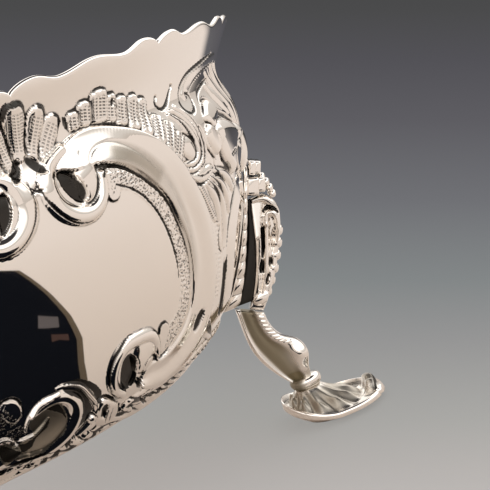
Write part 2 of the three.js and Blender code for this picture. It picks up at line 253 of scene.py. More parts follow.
def makeFloor(spec):
    # A level square. The camera sees the picture's grey on it, and the silver sees a cream ground round the
    # bowl
    half = spec["floorHalf"]
    mesh = bpy.data.meshes.new("floor")
    mesh.from_pydata([(-half, -half, 0), (half, -half, 0), (half, half, 0), (-half, half, 0)], [],
                     [(0, 1, 2, 3)])
    floor = bpy.data.objects.new("floor", mesh)
    bpy.context.scene.collection.objects.link(floor)

    material = bpy.data.materials.new("pale_floor")
    material.use_nodes = True
    n = NodeSheet(material.node_tree)
    place = n.add("ShaderNodeTexCoord", out=3)
    rays = n.add("ShaderNodeLightPath", out=None).outputs

    # A picture row meets the floor in a line through one pivot, where the camera's sideways line meets the
    # floor, so the angle round that pivot gives the row, and the floor's grey runs down the picture
    pivot = cameraPlace - cameraPlace[2] / viewRight[2] * viewRight
    away = n.vector("SUBTRACT", place, tuple(pivot * mm))
    parts = n.add("ShaderNodeSeparateXYZ", None, {0: away}, None).outputs
    angle = n.math("ARCTAN2", parts[1], parts[0])
    angles = []
    for row in spec["gradientRows"]:
        ray = viewAhead + rowSlope(row) * viewUp
        line = np.cross(np.cross(viewRight, ray), (0, 0, 1))
        line = line if line @ viewAhead > 0 else -line
        angles.append(math.atan2(line[1], line[0]))
    low, high = angles[0], angles[-1]
    share = n.add("ShaderNodeMapRange", None, {"Value": angle, "From Min": low, "From Max": high})
    grey = n.ramp(share, greyStops((np.array(angles) - low) / (high - low)))

    # What the silver sees: cream by the distance from the bowl, and the picture's grey far off behind it
    ahead = n.math("MULTIPLY", n.vector("DOT_PRODUCT", place, tuple(viewAhead), out=1), 1 / mm)
    fromAxis = n.vector("SUBTRACT", place, (0.0, axisY * mm, 0.0))
    reach = n.math("MULTIPLY", n.vector("LENGTH", fromAxis, out=1), 1 / mm)
    cream = n.mix(n.smooth(reach, *spec["floorRings"]), rgba(spec["floorNear"]), rgba(spec["floorAway"]))
    heading = n.vector("DOT_PRODUCT", n.vector("NORMALIZE", fromAxis), (flatAhead[0], flatAhead[1], 0.0),
                       out=1)
    beyond = n.math("MULTIPLY", n.smooth(ahead, *spec["floorTurn"]), n.smooth(heading, *spec["mirrorTurn"]))
    mirrored = n.mix(beyond, cream, grey)
    sight = n.vector("NORMALIZE", n.vector("SUBTRACT", place, tuple(cameraPlace * mm)))
    facing = n.smooth(n.vector("DOT_PRODUCT", sight, tuple(viewAhead), out=1), *spec["viewTurn"])
    plain = n.mix(facing, rgba(spec["elsewhere"]), grey)
    colour = n.mix(rays["Is Glossy Ray"], plain, mirrored)
    bsdf = n.add("ShaderNodeBsdfDiffuse", None, {"Color": colour})
    glow = n.add("ShaderNodeEmission", None, {"Color": plain})
    even = n.math("MULTIPLY", rays["Is Camera Ray"], spec["floorEven"])
    n.add("ShaderNodeOutputMaterial", None, {0: n.add("ShaderNodeMixShader", None, {0: even, 1: bsdf,
                                                                                    2: glow})})
    mesh.materials.append(material)


# Cards: flat shapes near the floor in front of the bowl, all in mm

cardSpec = {
    "outline": [(7, -50), (12, -62), (14, -69.7), (16, -74.6), (18, -79), (18.7, -84), (19.1, -90),
                (18.3, -94.7), (16.8, -100.5), (14.7, -105.6), (10.4, -117), (9, -121), (2.3, -126),
                (-7.3, -133.4), (-40, -150), (-75, -130), (-80, -90), (-60, -55), (-30, -44)],
    "dark": (0.006, 0.007, 0.010),
    "fringe": (0.13, 0.10, 0.07),
    "fringeShift": (2.2, 0.8),    # the brown card is the dark one moved, and shows past its edge
    "bar": [(9.3, -95.4), (16.2, -91.2), (14.6, -87.2), (7.2, -90.8)],
    "barTone": (0.13, 0.115, 0.115),
    "secondBar": [(10.6, -86.2), (16.2, -82.8), (15.4, -80.2), (12.4, -82.6), (9.6, -83.2)],
    "secondTone": (0.075, 0.045, 0.038),
    "lifts": (0.5, 0.75, 1.0),    # over the floor: brown card, dark card, bars
}


def makeCard(name, outline, lift, tone):
    # A flat card that only the silver sees: its mirror image gives the panel its deep tones
    mesh = bpy.data.meshes.new(name)
    mesh.from_pydata([(x * mm, y * mm, lift * mm) for x, y in outline], [], [tuple(range(len(outline)))])
    card = bpy.data.objects.new(name, mesh)
    card.visible_camera = False
    card.visible_shadow = False
    card.visible_diffuse = False
    bpy.context.scene.collection.objects.link(card)
    material = bpy.data.materials.new(name)
    material.use_nodes = True
    n = NodeSheet(material.node_tree)
    n.add("ShaderNodeOutputMaterial", None, {0: n.add("ShaderNodeBsdfDiffuse", None, {"Color": rgba(tone)})})
    mesh.materials.append(material)


def makeCards(spec):
    # The dark card, its brown fringe under it, and two bars over it
    low, middle, high = spec["lifts"]
    shift = np.array(spec["fringeShift"])
    makeCard("brown_card", [tuple(np.array(q) + shift) for q in spec["outline"]], low, spec["fringe"])
    makeCard("dark_card", spec["outline"], middle, spec["dark"])
    makeCard("grey_bar", spec["bar"], high, spec["barTone"])
    makeCard("red_bar", spec["secondBar"], high, spec["secondTone"])


makeWorld(studioSpec)
makeFloor(studioSpec)
makeCards(cardSpec)
bpy.context.scene.view_settings.view_transform = "Standard"
print("studio set")


# Silver

silverSpec = {
    "colour": (0.93, 0.885, 0.83),
    "roughness": 0.035,
    "castRoughness": 0.09,
    "hazeScale": 900.0,           # cloudy patches of the shine in a metre
    "hazeDetail": 3.0,
    "hazeSpread": (0.6, 1.5),     # roughness in the clearest and the haziest patch, as a share
    # Near-black of oxide in the hollows, also the colour of painted shade and of the tool marks
    "oxide": (0.013, 0.011, 0.009),
    "oxideAndShadeShare": 0.96,
    "oxideAndShadeTurn": (0.2, 0.74),
    "oxideAndShadeRough": 0.22,           # roughness that full oxide and painted shade add
    "wornTurn": (0.3, 0.7),       # haze at which the oxide and the painted shade are most and least worn
    "wornLeft": 0.75,             # oxide and painted shade left where it is most worn
    # Brown tone: painted shade and painted reflection on the chasing, legs and collars, and an even brown
    # over the shell feet
    "brownTone": (0.22, 0.18, 0.108),
    "brownRough": 0.45,
    "rowPitch": 0.66,             # mm between rows of stitches, and between the stitches of a row
    "rowTurn": (-0.8, 0.1),
    "stitchPitch": 0.5,
    "stitchSlant": 3.4,
    "stitchTurn": (-0.6, 0.5),
    "stitchDark": 0.78,
    "punchScale": 2500.0,         # punch marks in a metre
    "punchTurn": (0.52, 0.2),     # distance from a punch mark's middle where its dark starts and is full
    "punchDark": 0.75,
    "markDepth": 0.00005,         # metres
}


def sheetMark(n, key):
    # The number that the mesh carries under a name at each point
    return n.add("ShaderNodeAttribute", {"attribute_name": key}, None, 2)


def markNodes(n, place):
    # Darkness of the finest tool marks. Stitches are where two cosines, one across the rows and one along
    # them, are both high; punch marks are scattered cells
    spec = silverSpec
    across, down = sheetMark(n, "aside"), sheetMark(n, "along")
    row = n.math("COSINE", n.math("MULTIPLY", across, 2 * math.pi / spec["rowPitch"]))
    slant = n.math("ADD", n.math("MULTIPLY", down, 2 * math.pi / spec["stitchPitch"]),
                   n.math("MULTIPLY", across, spec["stitchSlant"]))
    stitch = n.math("MULTIPLY", n.smooth(row, *spec["rowTurn"]), n.smooth(n.math("COSINE", slant),
                                                                          *spec["stitchTurn"]))
    stitch = n.math("MULTIPLY", stitch, sheetMark(n, "stitch"))
    cells = n.add("ShaderNodeTexVoronoi", None, {"Vector": place, "Scale": spec["punchScale"]})
    punch = n.math("MULTIPLY", n.smooth(cells, *spec["punchTurn"]), sheetMark(n, "punch"))
    dark = n.math("MAXIMUM", n.math("MULTIPLY", stitch, spec["stitchDark"]),
                  n.math("MULTIPLY", punch, spec["punchDark"]))
    return dark, n.add("ShaderNodeBump", None, {"Strength": 1.0, "Distance": spec["markDepth"],
                                                "Height": n.math("SUBTRACT", 1.0, n.math("MAXIMUM", stitch,
                                                                                         punch))})


def makeSilver(name, roughness, aged=False, marked=False):
    # Mirror silver: a little haze; when it is aged, dark brown sulphide in the hollows that the cloth can't
    # reach, with painted shade in the same dark, and a brown tone that is mostly painted shade and painted
    # reflection;
    # and the finest tool marks when it is marked
    spec = silverSpec
    material = bpy.data.materials.new(name)
    material.use_nodes = True
    n = NodeSheet(material.node_tree)
    place = n.add("ShaderNodeTexCoord", out=3)
    haze = n.add("ShaderNodeTexNoise", None,
                 {"Vector": place, "Scale": spec["hazeScale"], "Detail": spec["hazeDetail"]})
    clear, hazy = spec["hazeSpread"]
    rough = n.add("ShaderNodeMapRange", None,
                  {"Value": haze, "To Min": roughness * clear, "To Max": roughness * hazy})
    colour = rgba(spec["colour"])
    relief = {}
    if aged:
        # The brown tone, where the mesh lays it: mostly painted shade and painted reflection
        brown = sheetMark(n, "brownTone")
        colour = n.mix(brown, colour, rgba(spec["brownTone"]))
        low, high = spec["wornTurn"]
        wear = n.add("ShaderNodeMapRange", None,
                     {"Value": haze, "From Min": low, "From Max": high, "To Min": spec["wornLeft"]})
        # The dark mark: oxide in the hollows together with painted shade, thinned by the haze
        dark = n.smooth(n.math("MULTIPLY", sheetMark(n, "oxide"), wear), *spec["oxideAndShadeTurn"])
        colour = n.mix(n.math("MULTIPLY", dark, spec["oxideAndShadeShare"]), colour, rgba(spec["oxide"]))
        rough = n.math("ADD", rough, n.math("MULTIPLY", dark, spec["oxideAndShadeRough"]))
        rough = n.math("ADD", rough, n.math("MULTIPLY", brown, spec["brownRough"]))
    if marked:
        fine, bump = markNodes(n, place)
        colour = n.mix(fine, colour, rgba(spec["oxide"]))
        relief = {"Normal": bump}
    bsdf = n.add("ShaderNodeBsdfPrincipled", None,
                 {"Base Color": colour, "Metallic": 1.0, "Roughness": rough, **relief})
    n.add("ShaderNodeOutputMaterial", None, {0: bsdf})
    return material


polished = makeSilver("polished_silver", silverSpec["roughness"])
cast = makeSilver("cast_silver", silverSpec["castRoughness"])
raised = makeSilver("raised_silver_aged", silverSpec["roughness"], aged=True, marked=True)
castAged = makeSilver("cast_silver_aged", silverSpec["castRoughness"], aged=True)
for name, node in nodes.items():
    node.data.materials.clear()
    node.data.materials.append(polished if name == "bowl_body" else cast)


# Wall: a grid of rows down the wall and columns round it, with the chasing as a height over the plain wall

wallSpec = {
    "stations": [(0, 12.5), (16, 13.4), (38, 19.1), (47, 24.2), (53.1, 32.8), (58, 44.4), (60.9, 57.1),
                 (60.3, 63.3), (64.6, 70), (65.2, 71.25)],     # radius and height of the outside, mm
    "sheet": 0.9,
    "cuspHeight": 70.0,
    "chasedDepth": 62.0,      # how far down from the cusps the fine grid reaches
    "slabs": 3,               # slabs in each third of the bowl
    "gridAcross": 236,        # columns in a slab
    "gridDown": 337,
    "innerStep": 6,           # the inside has one row for this many outside
    "edgeReach": 4.0,         # how far down from the cusps the rows bend to follow the scalloped edge
    "innerShare": 0.7,        # how much of the chasing shows in reverse inside
    "innerSoftness": 5,       # how many columns the chasing is blurred over inside
    "baseColumns": 540,
    # the dish: columns, rings of each skin, and mm from its middle to the first ring
    "baseRings": 16,
    "baseHole": 0.6,
    "rimAngles": (30, 60, 90, 120, 150),      # degrees round the edge, from the outer skin to the inner
    "motifCount": 15,
    "edgeHeights": (-0.15, 1.25, 0.1, 1.05),  # over the cusps' plane: cusp, narrow lobe, dip, wide lobe
    "edgePlaces": (0.13, 0.28, 0.5),          # where the last three are, as shares of a motif
    "edgeFollow": 1.05,       # how far the first row follows the cut edge
    "oxideReach": 3,          # a point is dark where it lies this deep under its surroundings
    "oxideDepth": 0.22,
    "unrollRadius": 60.0,     # a millimetre across the unrolled wall is a millimetre at this radius
}


def lengthsAlong(path):
    # Length of a path up to each of its points
    return np.concatenate([[0], np.cumsum(np.linalg.norm(np.diff(path, axis=0), axis=1))])


def naturalSpline(t, values):
    # Second derivatives of the smooth curve through the values, with free ends
    h = np.diff(t)
    size = len(t)
    a = np.zeros((size, size))
    b = np.zeros((size,) + values.shape[1:])
    a[0, 0] = a[-1, -1] = 1
    for i in range(1, size - 1):
        a[i, i - 1:i + 2] = h[i - 1], 2 * (h[i - 1] + h[i]), h[i]
        b[i] = 6 * ((values[i + 1] - values[i]) / h[i] - (values[i] - values[i - 1]) / h[i - 1])
    return np.linalg.solve(a, b)


def splineThrough(points, samples, fineness=40):
    # Points evenly spaced in length on the smooth curve through a few points, measured on a finer row of
    # points
    p = np.asarray(points, float)
    t = np.concatenate([[0], np.cumsum(np.linalg.norm(np.diff(p, axis=0), axis=1) ** 0.5)])
    m = naturalSpline(t, p)

    def at(x):
        # The spline's cubic between the two points on either side of a parameter
        k = np.clip(np.searchsorted(t, x) - 1, 0, len(t) - 2)
        h = (t[k + 1] - t[k])[:, None]
        a = (t[k + 1] - x)[:, None] / h
        b = 1 - a
        return a * p[k] + b * p[k + 1] + ((a ** 3 - a) * m[k] + (b ** 3 - b) * m[k + 1]) * h ** 2 / 6

    fine = np.linspace(0, t[-1], fineness * len(p))
    length = lengthsAlong(at(fine))
    return at(np.interp(np.linspace(0, length[-1], samples), length, fine))


# Chasing: strokes on the unrolled wall, u across and s down from the cusps, in millimetres

chaseSpec = {
    "panels": 3,
    "sheetTop": 0.0,
    "matGrain": 0.075,        # depth of the punched ground
    "grainWaves": 24,
    "grainPitch": (0.55, 0.85),
    "grainLimit": 3.5,        # sum of the waves at which a bump is full
    "seed": 11,
    "borderRise": 0.5,        # how far the border stands out of the wall
    "border": (54.6, 57),     # the depths over which it comes to stand out
    "fade": (60.2, 61.8),     # the depths over which the chasing dies away
    "heights": (-0.55, 1.35),
}
strokeSpec = {
    "taper": 0.35,            # share of a bar's length over which each end narrows
    "barShade": 1.6,            # how soon the painted shade is full, inwards from the edge of a bar or of an oval
    "ovalShade": 2.5,
    "punchFrom": (0.04, 0.12),        # shares of a band's width where its punching starts and ends
    "punchTo": (0.88, 0.96),
    "petalRound": 0.2,        # share of a petal's length that is round at its tip
    "petalCrown": 0.32,
    "petalFoot": 0.55,        # height at its foot, as a share
    "stitchSide": 0.2,        # mm over which stitches die away at the sides and the ends
    "stitchEnd": 0.3,
    "tintEnds": (0.15, 0.8),
}


def smoothStep(x, low, high):
    # 0 below low, 1 above high, and three squares less two cubes of the share between them
    x = np.clip((x - low) / (high - low), 0, 1)
    return x * x * (3 - 2 * x)


def pathThrough(points, perSpan=9):
    # A smooth line through given points
    points = np.asarray(points, float)
    return points if len(points) < 3 else splineThrough(points, perSpan * (len(points) - 1) + 1)


class ChasedSheet:
    # A grid of heights over the unrolled wall, one period wide, that strokes raise, sink or mark. A stroke
    # gives its points, then half its width and how far it rises or sinks, then how wide it is at its two
    # ends, as shares

    def __init__(self, u, s):
        self.u, self.s = u, s
        self.period = (u[1] - u[0]) * len(u)
        self.height = np.zeros((len(s), len(u)))
        self.paintedShade = np.zeros((len(s), len(u)))      # painted shade: how dark a recess or a mirrored dark patch is drawn, 0 to 1
        self.marks = {key: np.zeros((len(s),
                                     len(u))) for key in ("stitch", "along", "aside", "punch", "brownTone")}
        self.mirrored = False

    def windows(self, points, reach):
        # The parts of the grid within reach of some points, and the same parts a period to either side
        low, high = points.min(0) - reach, points.max(0) + reach
        rows = np.flatnonzero((self.s >= low[1]) & (self.s <= high[1]))
        for shift in (-self.period, 0, self.period):
            columns = np.flatnonzero((self.u + shift >= low[0]) & (self.u + shift <= high[0]))
            if len(rows) and len(columns):
                part = (slice(rows[0], rows[-1] + 1), slice(columns[0], columns[-1] + 1))
                yield part, *np.meshgrid(self.u[part[1]] + shift, self.s[part[0]])

    def turned(self, points):
        # Points as drawn, or their image in the panel's middle line
        points = np.array(points, float)
        return points * (-1, 1) if self.mirrored else points

    @staticmethod
    def along(path, u, s):
        # Distance to a path, and the share of its length at the nearest place
        best = np.full(u.shape, 1e9)
        share = np.zeros(u.shape)
        lengths = np.linalg.norm(np.diff(path, axis=0), axis=1)
        total, done = lengths.sum(), 0.0
        for a, b, length in zip(path[:-1], path[1:], lengths):
            du, ds = (b - a) / length
            t = np.clip((u - a[0]) * du + (s - a[1]) * ds, 0, length)
            x, y = u - a[0] - t * du, s - a[1] - t * ds
            d = np.hypot(x, y)
            near = d < best
            best[near] = d[near]
            share[near] = (done + t[near]) / total
            done += length
        return best, share

    def ridge(self, points, halfWidth, rise, ends=(0.3, 0.3), power=1.0, mode="add", paintedShade=0.0):
        # A rounded bar along a path: rise times (1 - (distance / half width) squared), thinner towards its
        # ends
        path = pathThrough(self.turned(points))
        for part, u, s in self.windows(path, halfWidth):
            d, t = self.along(path, u, s)
            width = halfWidth * (ends[0] + (1 - ends[0]) * smoothStep(t, 0, strokeSpec["taper"]))
            width = width * (ends[1] + (1 - ends[1]) * smoothStep(1 - t, 0, strokeSpec["taper"]))
            shape = np.clip(1 - (d / width) ** 2, 0, 1)
            self.put(part, rise * shape ** power * (width / halfWidth) ** 0.5, mode)
            # Painted shade along the bar, when asked
            if paintedShade:
                self.darken(part, paintedShade * np.clip(strokeSpec["barShade"] * shape, 0, 1))

    def darken(self, part, amount):
        # Painted shade is the darkest of what was laid there
        self.paintedShade[part] = np.maximum(self.paintedShade[part], amount)

    def put(self, part, h, mode):
        # New heights are added, or replace what is there where they are higher
        if mode == "add":
            self.height[part] += h
        else:
            self.height[part] = np.maximum(self.height[part], h)

    def dome(self, centre, size, rise, turn=0.0, power=0.5, mode="max", paintedShade=0.0):
        # An oval swelling or hollow: rise times (1 - reach squared) to a power, flatter for small powers
        centre = self.turned(centre)
        turn = math.radians(-turn if self.mirrored else turn)
        c, w = math.cos(turn), math.sin(turn)
        for part, u, s in self.windows(centre[None], max(size)):
            x, y = u - centre[0], s - centre[1]
            a, b = (x * c + y * w) / size[0], (y * c - x * w) / size[1]
            shape = np.clip(1 - a * a - b * b, 0, 1)
            self.put(part, rise * shape ** power, mode)
            # Painted shade inside the oval, when asked
            if paintedShade:
                self.darken(part, paintedShade * np.clip(strokeSpec["ovalShade"] * shape, 0, 1))

    def inside(self, outline, u, s):
        # Whether grid points lie in a closed outline, by counting the edges that a level ray crosses
        found = np.zeros(u.shape, bool)
        for (ax, ay), (bx, by) in zip(outline, np.roll(outline, -1, axis=0)):
            if ay != by:
                crosses = (ay > s) != (by > s)
                found ^= crosses & (u < (bx - ax) * (s - ay) / (by - ay) + ax)
        return found

    def band(self, innerPoints, outerPoints, profile, punched=False):
        # A moulding between two edges: the profile gives its height over the share of the way across
        inner, outer = pathThrough(self.turned(innerPoints)), pathThrough(self.turned(outerPoints))
        outline = np.concatenate([inner, outer[::-1]])
        for part, u, s in self.windows(outline, 0):
            a, t = self.along(inner, u, s)
            b = self.along(outer, u, s)[0]
            v = a / (a + b + 1e-9)
            within = self.inside(outline, u, s)
            self.put(part, np.where(within, profile(v, t, u, s), 0), "max")
            if punched:
                edge = smoothStep(v, *strokeSpec["punchFrom"]) * (1 - smoothStep(v, *strokeSpec["punchTo"]))
                self.marks["punch"][part] = np.maximum(self.marks["punch"][part], np.where(within, edge, 0))

    def petal(self, base, tip, width, rise, waist):
        # A lobe that widens from its waist to a round tip. Its height is a power of 1 less the square of
        # the place across, and grows from its foot
        base, tip = self.turned(base), self.turned(tip)
        length = np.linalg.norm(tip - base)
        du, ds = (tip - base) / length
        roundness, foot = strokeSpec["petalRound"], strokeSpec["petalFoot"]
        for part, u, s in self.windows(np.array([base, tip]), width):
            a = ((u - base[0]) * du + (s - base[1]) * ds) / length
            b = (-(u - base[0]) * ds + (s - base[1]) * du)
            half = 0.5 * width * (waist + (1 - waist) * smoothStep(a, 0, 0.75))
            half = half * np.sqrt(np.clip(1 - np.clip((a - (1 - roundness)) / roundness, 0, 1) ** 2, 0, 1))
            x = b / np.maximum(half, 1e-6)
            crown = np.clip(1 - x * x, 0, 1) ** strokeSpec["petalCrown"] * (a > 0) * (a < 1)
            self.put(part, rise * crown * (foot + (1 - foot) * smoothStep(a, 0, 0.7)), "max")

    def groove(self, points, halfWidth, depth, ends=(0.35, 0.35), paintedShade=0.9):
        # A cut line: the bar of ridge sunk into whatever is there, and darkened with painted shade
        self.ridge(points, halfWidth, -depth, ends, power=0.8, paintedShade=paintedShade)

    def lobe(self, outline, rise, shoulder, power=0.5):
        # A raised plate with a closed outline: full height inside, falling over a shoulder at the edge
        edge = pathThrough(self.turned(outline + outline[:1]))
        for part, u, s in self.windows(edge, 0):
            d = self.along(edge, u, s)[0]
            h = np.where(self.inside(edge[:-1], u, s), rise * np.clip(d / shoulder, 0, 1) ** power, 0)
            self.put(part, h, "max")

    def facet(self, outline, height):
        # A plate with straight edges, as high as the given function of the place
        edge = np.array(outline, float)
        for part, u, s in self.windows(edge, 0):
            self.put(part, np.where(self.inside(edge, u, s), height(u, s), 0), "max")

    def tint(self, points, reach, amount):
        # Soft brown painted shade to both sides of a path: 1 less the square of the distance over the reach
        first, last = strokeSpec["tintEnds"]
        path = pathThrough(self.turned(points))
        for part, u, s in self.windows(path, reach):
            away, share = self.along(path, u, s)
            ends = smoothStep(share, 0, first) * (1 - smoothStep(share, last, 1))
            soft = np.clip(1 - (away / reach) ** 2, 0, 1) * ends
            self.marks["brownTone"][part] = np.maximum(self.marks["brownTone"][part], amount * soft)

    def shade(self, outline, amount, key=None):
        # Painted shade over everything inside a closed outline, or the same amount in one of the marks
        edge = pathThrough(self.turned(outline + outline[:1]))[:-1]
        sheet = self.paintedShade if key is None else self.marks[key]
        for part, u, s in self.windows(edge, 0):
            sheet[part] = np.maximum(sheet[part], amount * self.inside(edge, u, s))

    def stitches(self, base, tip, half, strength=1.0):
        # An area of stitched rows about a line: the marks' strength, and the place along and across in
        # millimetres
        base, tip = self.turned(base), self.turned(tip)
        length = np.linalg.norm(tip - base)
        du, ds = (tip - base) / length
        for part, u, s in self.windows(np.array([base, tip]), half):
            a = (u - base[0]) * du + (s - base[1]) * ds
            b = (s - base[1]) * du - (u - base[0]) * ds
            side, end = strokeSpec["stitchSide"], strokeSpec["stitchEnd"]
            share = smoothStep(half - np.abs(b),
                               0, side) * smoothStep(a, 0, end) * smoothStep(length - a, 0, end)
            here = share > 0.02
            for key, value in (("stitch", strength * share), ("along", a), ("aside", b)):
                self.marks[key][part] = np.where(here, value, self.marks[key][part])


scrollSpec = {
    "outer": [(3.6, 12.4), (4.7, 10.6), (6.5, 9.2), (9, 8.4), (12, 8.4), (16, 9.7), (20, 12.2), (23.8, 16),
              (27.4, 21.2), (30.4, 26.3), (32.3, 31.8), (33.3, 37.5), (32.8, 43.2), (30.4, 47.8), (26, 50.8),
              (21, 51.9), (16, 51.4), (12.5, 49.6)],
    "inner": [(6.2, 13.4), (7.6, 13.4), (9.4, 13.6), (11.2, 14), (14.8, 15.8), (18, 18.7), (20.6, 21.8),
              (23, 26), (25, 30.5), (26, 35.2), (25.9, 39.6), (24.2, 43.2), (21.2, 45.4), (17.6, 46.2),
              (15, 46), (13.4, 47)],
    "channel": [(11.4, 12.8), (15, 14.2), (18.2, 16.8), (21, 20.2), (23, 24.2), (24.8, 29), (26, 34),
                (26.4, 39)],
    "crestRise": 1.15,
    "channelDip": 0.1,
    "lipRise": 0.42,
    "facetDrop": 0.85,        # how far the plain facet at its start falls towards the outer edge
    # Where a part of the section starts and ends, as shares of the way across
    "lip": (0, 0.07),
    "channelIn": (0.08, 0.28),
    "channelOut": (0.38, 0.62),
    "crest": (0.46, 1),
    "fall": (0.9, 1.0),
    "crestTop": (0.78, 0.14),
    # where the crest is highest, and how much further out that is at its start
    "crestTurn": (0.3, 0.45),         # shares of its length, as is the facet's
    "facetTurn": (0.07, 0.2),
    "matInner": [(10.4, 18.6), (12.6, 18.2), (15.2, 20), (18, 23.4), (20.4, 27.6), (21.8, 32), (22.4, 36),
                 (21.4, 39.8), (19.6, 41.2)],
    "matOuter": [(11.2, 14.4), (14.8, 16.2), (18, 19.1), (20.6, 22.2), (22.6, 26), (24.5, 30.5), (25.5, 35.2),
                 (25.4, 39.6), (23.8, 42.8), (21.2, 44.9), (18, 45.6)],
}


def scrollProfile(v, t, u, s):
    # Across the scroll: a narrow lip, a hollow channel, and a broad crest that falls steeply to the ground
    spec = scrollSpec
    lip = spec["lipRise"] * smoothStep(v, *spec["lip"])
    dip = spec["channelDip"] * smoothStep(v, *spec["channelIn"]) * (1 - smoothStep(v, *spec["channelOut"]))
    place, further = spec["crestTop"]
    top = place + further * (1 - smoothStep(t, *spec["crestTurn"]))
    crest = (spec["crestRise"] - spec["lipRise"]) * smoothStep(v / top, *spec["crest"])
    facet = 1 - smoothStep(t, *spec["facetTurn"])
    fall = 1 - smoothStep(v, *spec["fall"])
    return ((lip - dip + crest) * (1 - facet) + (spec["crestRise"] - spec["facetDrop"] * v) * facet) * fall


def matProfile(grain):
    # Across the punched band: a low flat top with grain in it, that falls away at both edges
    def profile(v, t, u, s):
        # Height by the share of the way across and the place
        edge = smoothStep(v, 0, 0.08) * (1 - smoothStep(v, 0.92, 1))
        return 0.02 + edge * (0.10 + grain(u, s))
    return profile


def makeGrain(spec):
    # Punched ground: bumps at scattered places, as the ripple of many plane waves with random headings
    random = np.random.default_rng(spec["seed"])
    count = spec["grainWaves"]
    headings, phases = random.uniform(0, math.pi, count), random.uniform(0, 2 * math.pi, count)
    waves = 2 * math.pi / random.uniform(*spec["grainPitch"], count)

    def grain(u, s):
        # Depth times the sum of the waves over its limit, cut off at 1
        total = sum(np.sin(w * (u * math.cos(a) + s * math.sin(a)) + p)
                    for a, p, w in zip(headings, phases, waves))
        return spec["matGrain"] * np.clip(total / spec["grainLimit"], -1, 1)
    return grain


# Shell comb over the scroll: each scallop has the foot and the tip of every rib in it
combSpec = {
    "scallops": [
        [((8.3, 8.1), (8.3, 5.9)), ((9.2, 8.1), (9.1, 5.9))],
        [((10.1, 8.1), (10.0, 5.1)), ((11.1, 8.1), (11.2, 5.0))],
        [((12.4, 8.2), (12.3, 4.2)), ((13.3, 8.3), (13.3, 4.0)), ((14.1, 8.5), (14.2, 4.3))],
        [((14.9, 8.8), (15.1, 5.3)), ((15.7, 9.1), (16, 5.4))],
        [((16.6, 9.6), (17.1, 6.3)), ((17.5, 10.2), (18.2, 6.2))],
        [((18.5, 10.8), (19.6, 6.8)), ((19.4, 11.4), (20.6, 6.6))],
        [((20.2, 12.1), (21.7, 7.3)), ((21.1, 12.9), (22.5, 8.1))],
        [((21.7, 13.9), (23.4, 10.5)), ((22.5, 14.7), (24.4, 11.0))],
        [((23.1, 15.6), (25.3, 11.8)), ((23.8, 16.4), (26.1, 12.8))],
        [((24.3, 17), (26.7, 13.8)), ((24.8, 17.7), (27.1, 14.9))],
    ],
    "padRise": 0.5,
    "ribRise": 0.16,
    "ribHalf": 0.42,
    "margin": 2.35,           # what a scallop has beside its ribs, in half ribs
    "crown": 0.42,            # how far its top rises over the ribs' tips
    "crownShare": 0.28,       # half the width of its top, as a share
}


def chaseComb(sheet, spec):
    # Each scallop is a plate with six corners round its ribs, cut round its top and stitched
    for scallop in spec["scallops"]:
        feet = np.array([foot for foot, _ in scallop])
        tips = np.array([tip for _, tip in scallop])
        foot, tip = feet.mean(0), tips.mean(0)
        way = (tip - foot) / np.linalg.norm(tip - foot)
        wide = np.linalg.norm(tips[-1] - tips[0]) + spec["margin"] * spec["ribHalf"]
        across = np.array([-way[1], way[0]])
        crown, share = spec["crown"] * way, spec["crownShare"]
        corners = [foot - 0.5 * wide * across, tip - 0.5 * wide * across, tip - share * wide * across + crown,
                   tip + share * wide * across + crown, tip + 0.5 * wide * across, foot + 0.5 * wide * across]
        corners = [tuple(c) for c in corners]
        sheet.lobe(corners, spec["padRise"], 0.32)
        sheet.groove(corners[1:5], 0.24, 0.08, ends=(0.3, 0.6), paintedShade=0.85)
        for a, b in scallop:
            sheet.ridge([a, b], spec["ribHalf"], spec["ribRise"], ends=(0.7, 0.7), power=0.6)
        sheet.stitches(foot + 0.1 * (tip - foot), foot + 0.93 * (tip - foot), 0.5 * wide - 0.12, 1.0)
    sheet.dome((15.6, 6.2), (0.42, 0.6), -0.55, mode="add", paintedShade=1)
    sheet.dome((22.6, 9.7), (0.45, 0.8), -0.55, mode="add", paintedShade=1)
    sheet.dome((7.5, 6.9), (0.35, 1.2), -0.35, turn=-12, mode="add", paintedShade=0.8)


# Palmette over the middle of a panel: foot, tip and width of each petal
petalSpec = {
    "petals": [((2.8, 11.4), (6.0, 4.9), 2.9), ((1.5, 10.6), (3.6, 2.8), 2.7), ((0.3, 9.6), (0.3, 1.2), 2.5)],
    "rises": [0.6, 0.68, 0.75],
    "waist": 0.4,
    # The tip's bevel, dark on the side away from the light: millimetres aside and back from the tip
    "bevel": [(-0.2, 0), (0.5, 0.15), (0.95, 0.7), (1.2, 1.5), (1.25, 2.4)],
}


def chasePalmette(sheet, spec):
    # Each petal has stitches along its middle and a bevel round its tip
    for (foot, tip, width), rise in zip(spec["petals"], spec["rises"]):
        sheet.petal(foot, tip, width, rise, spec["waist"])
        foot, tip = np.array(foot), np.array(tip)
        way = (tip - foot) / np.linalg.norm(tip - foot)
        side = np.array([-way[1], way[0]])
        sheet.stitches(foot + 0.12 * (tip - foot), foot + 0.86 * (tip - foot), 0.36 * width, 0.55)
        top = tip - 0.02 * (tip - foot)
        sheet.groove([tuple(top + (k * side - d * way)) for k, d in spec["bevel"]],
                     0.34, 0.2, ends=(0.5, 0.3), paintedShade=1)


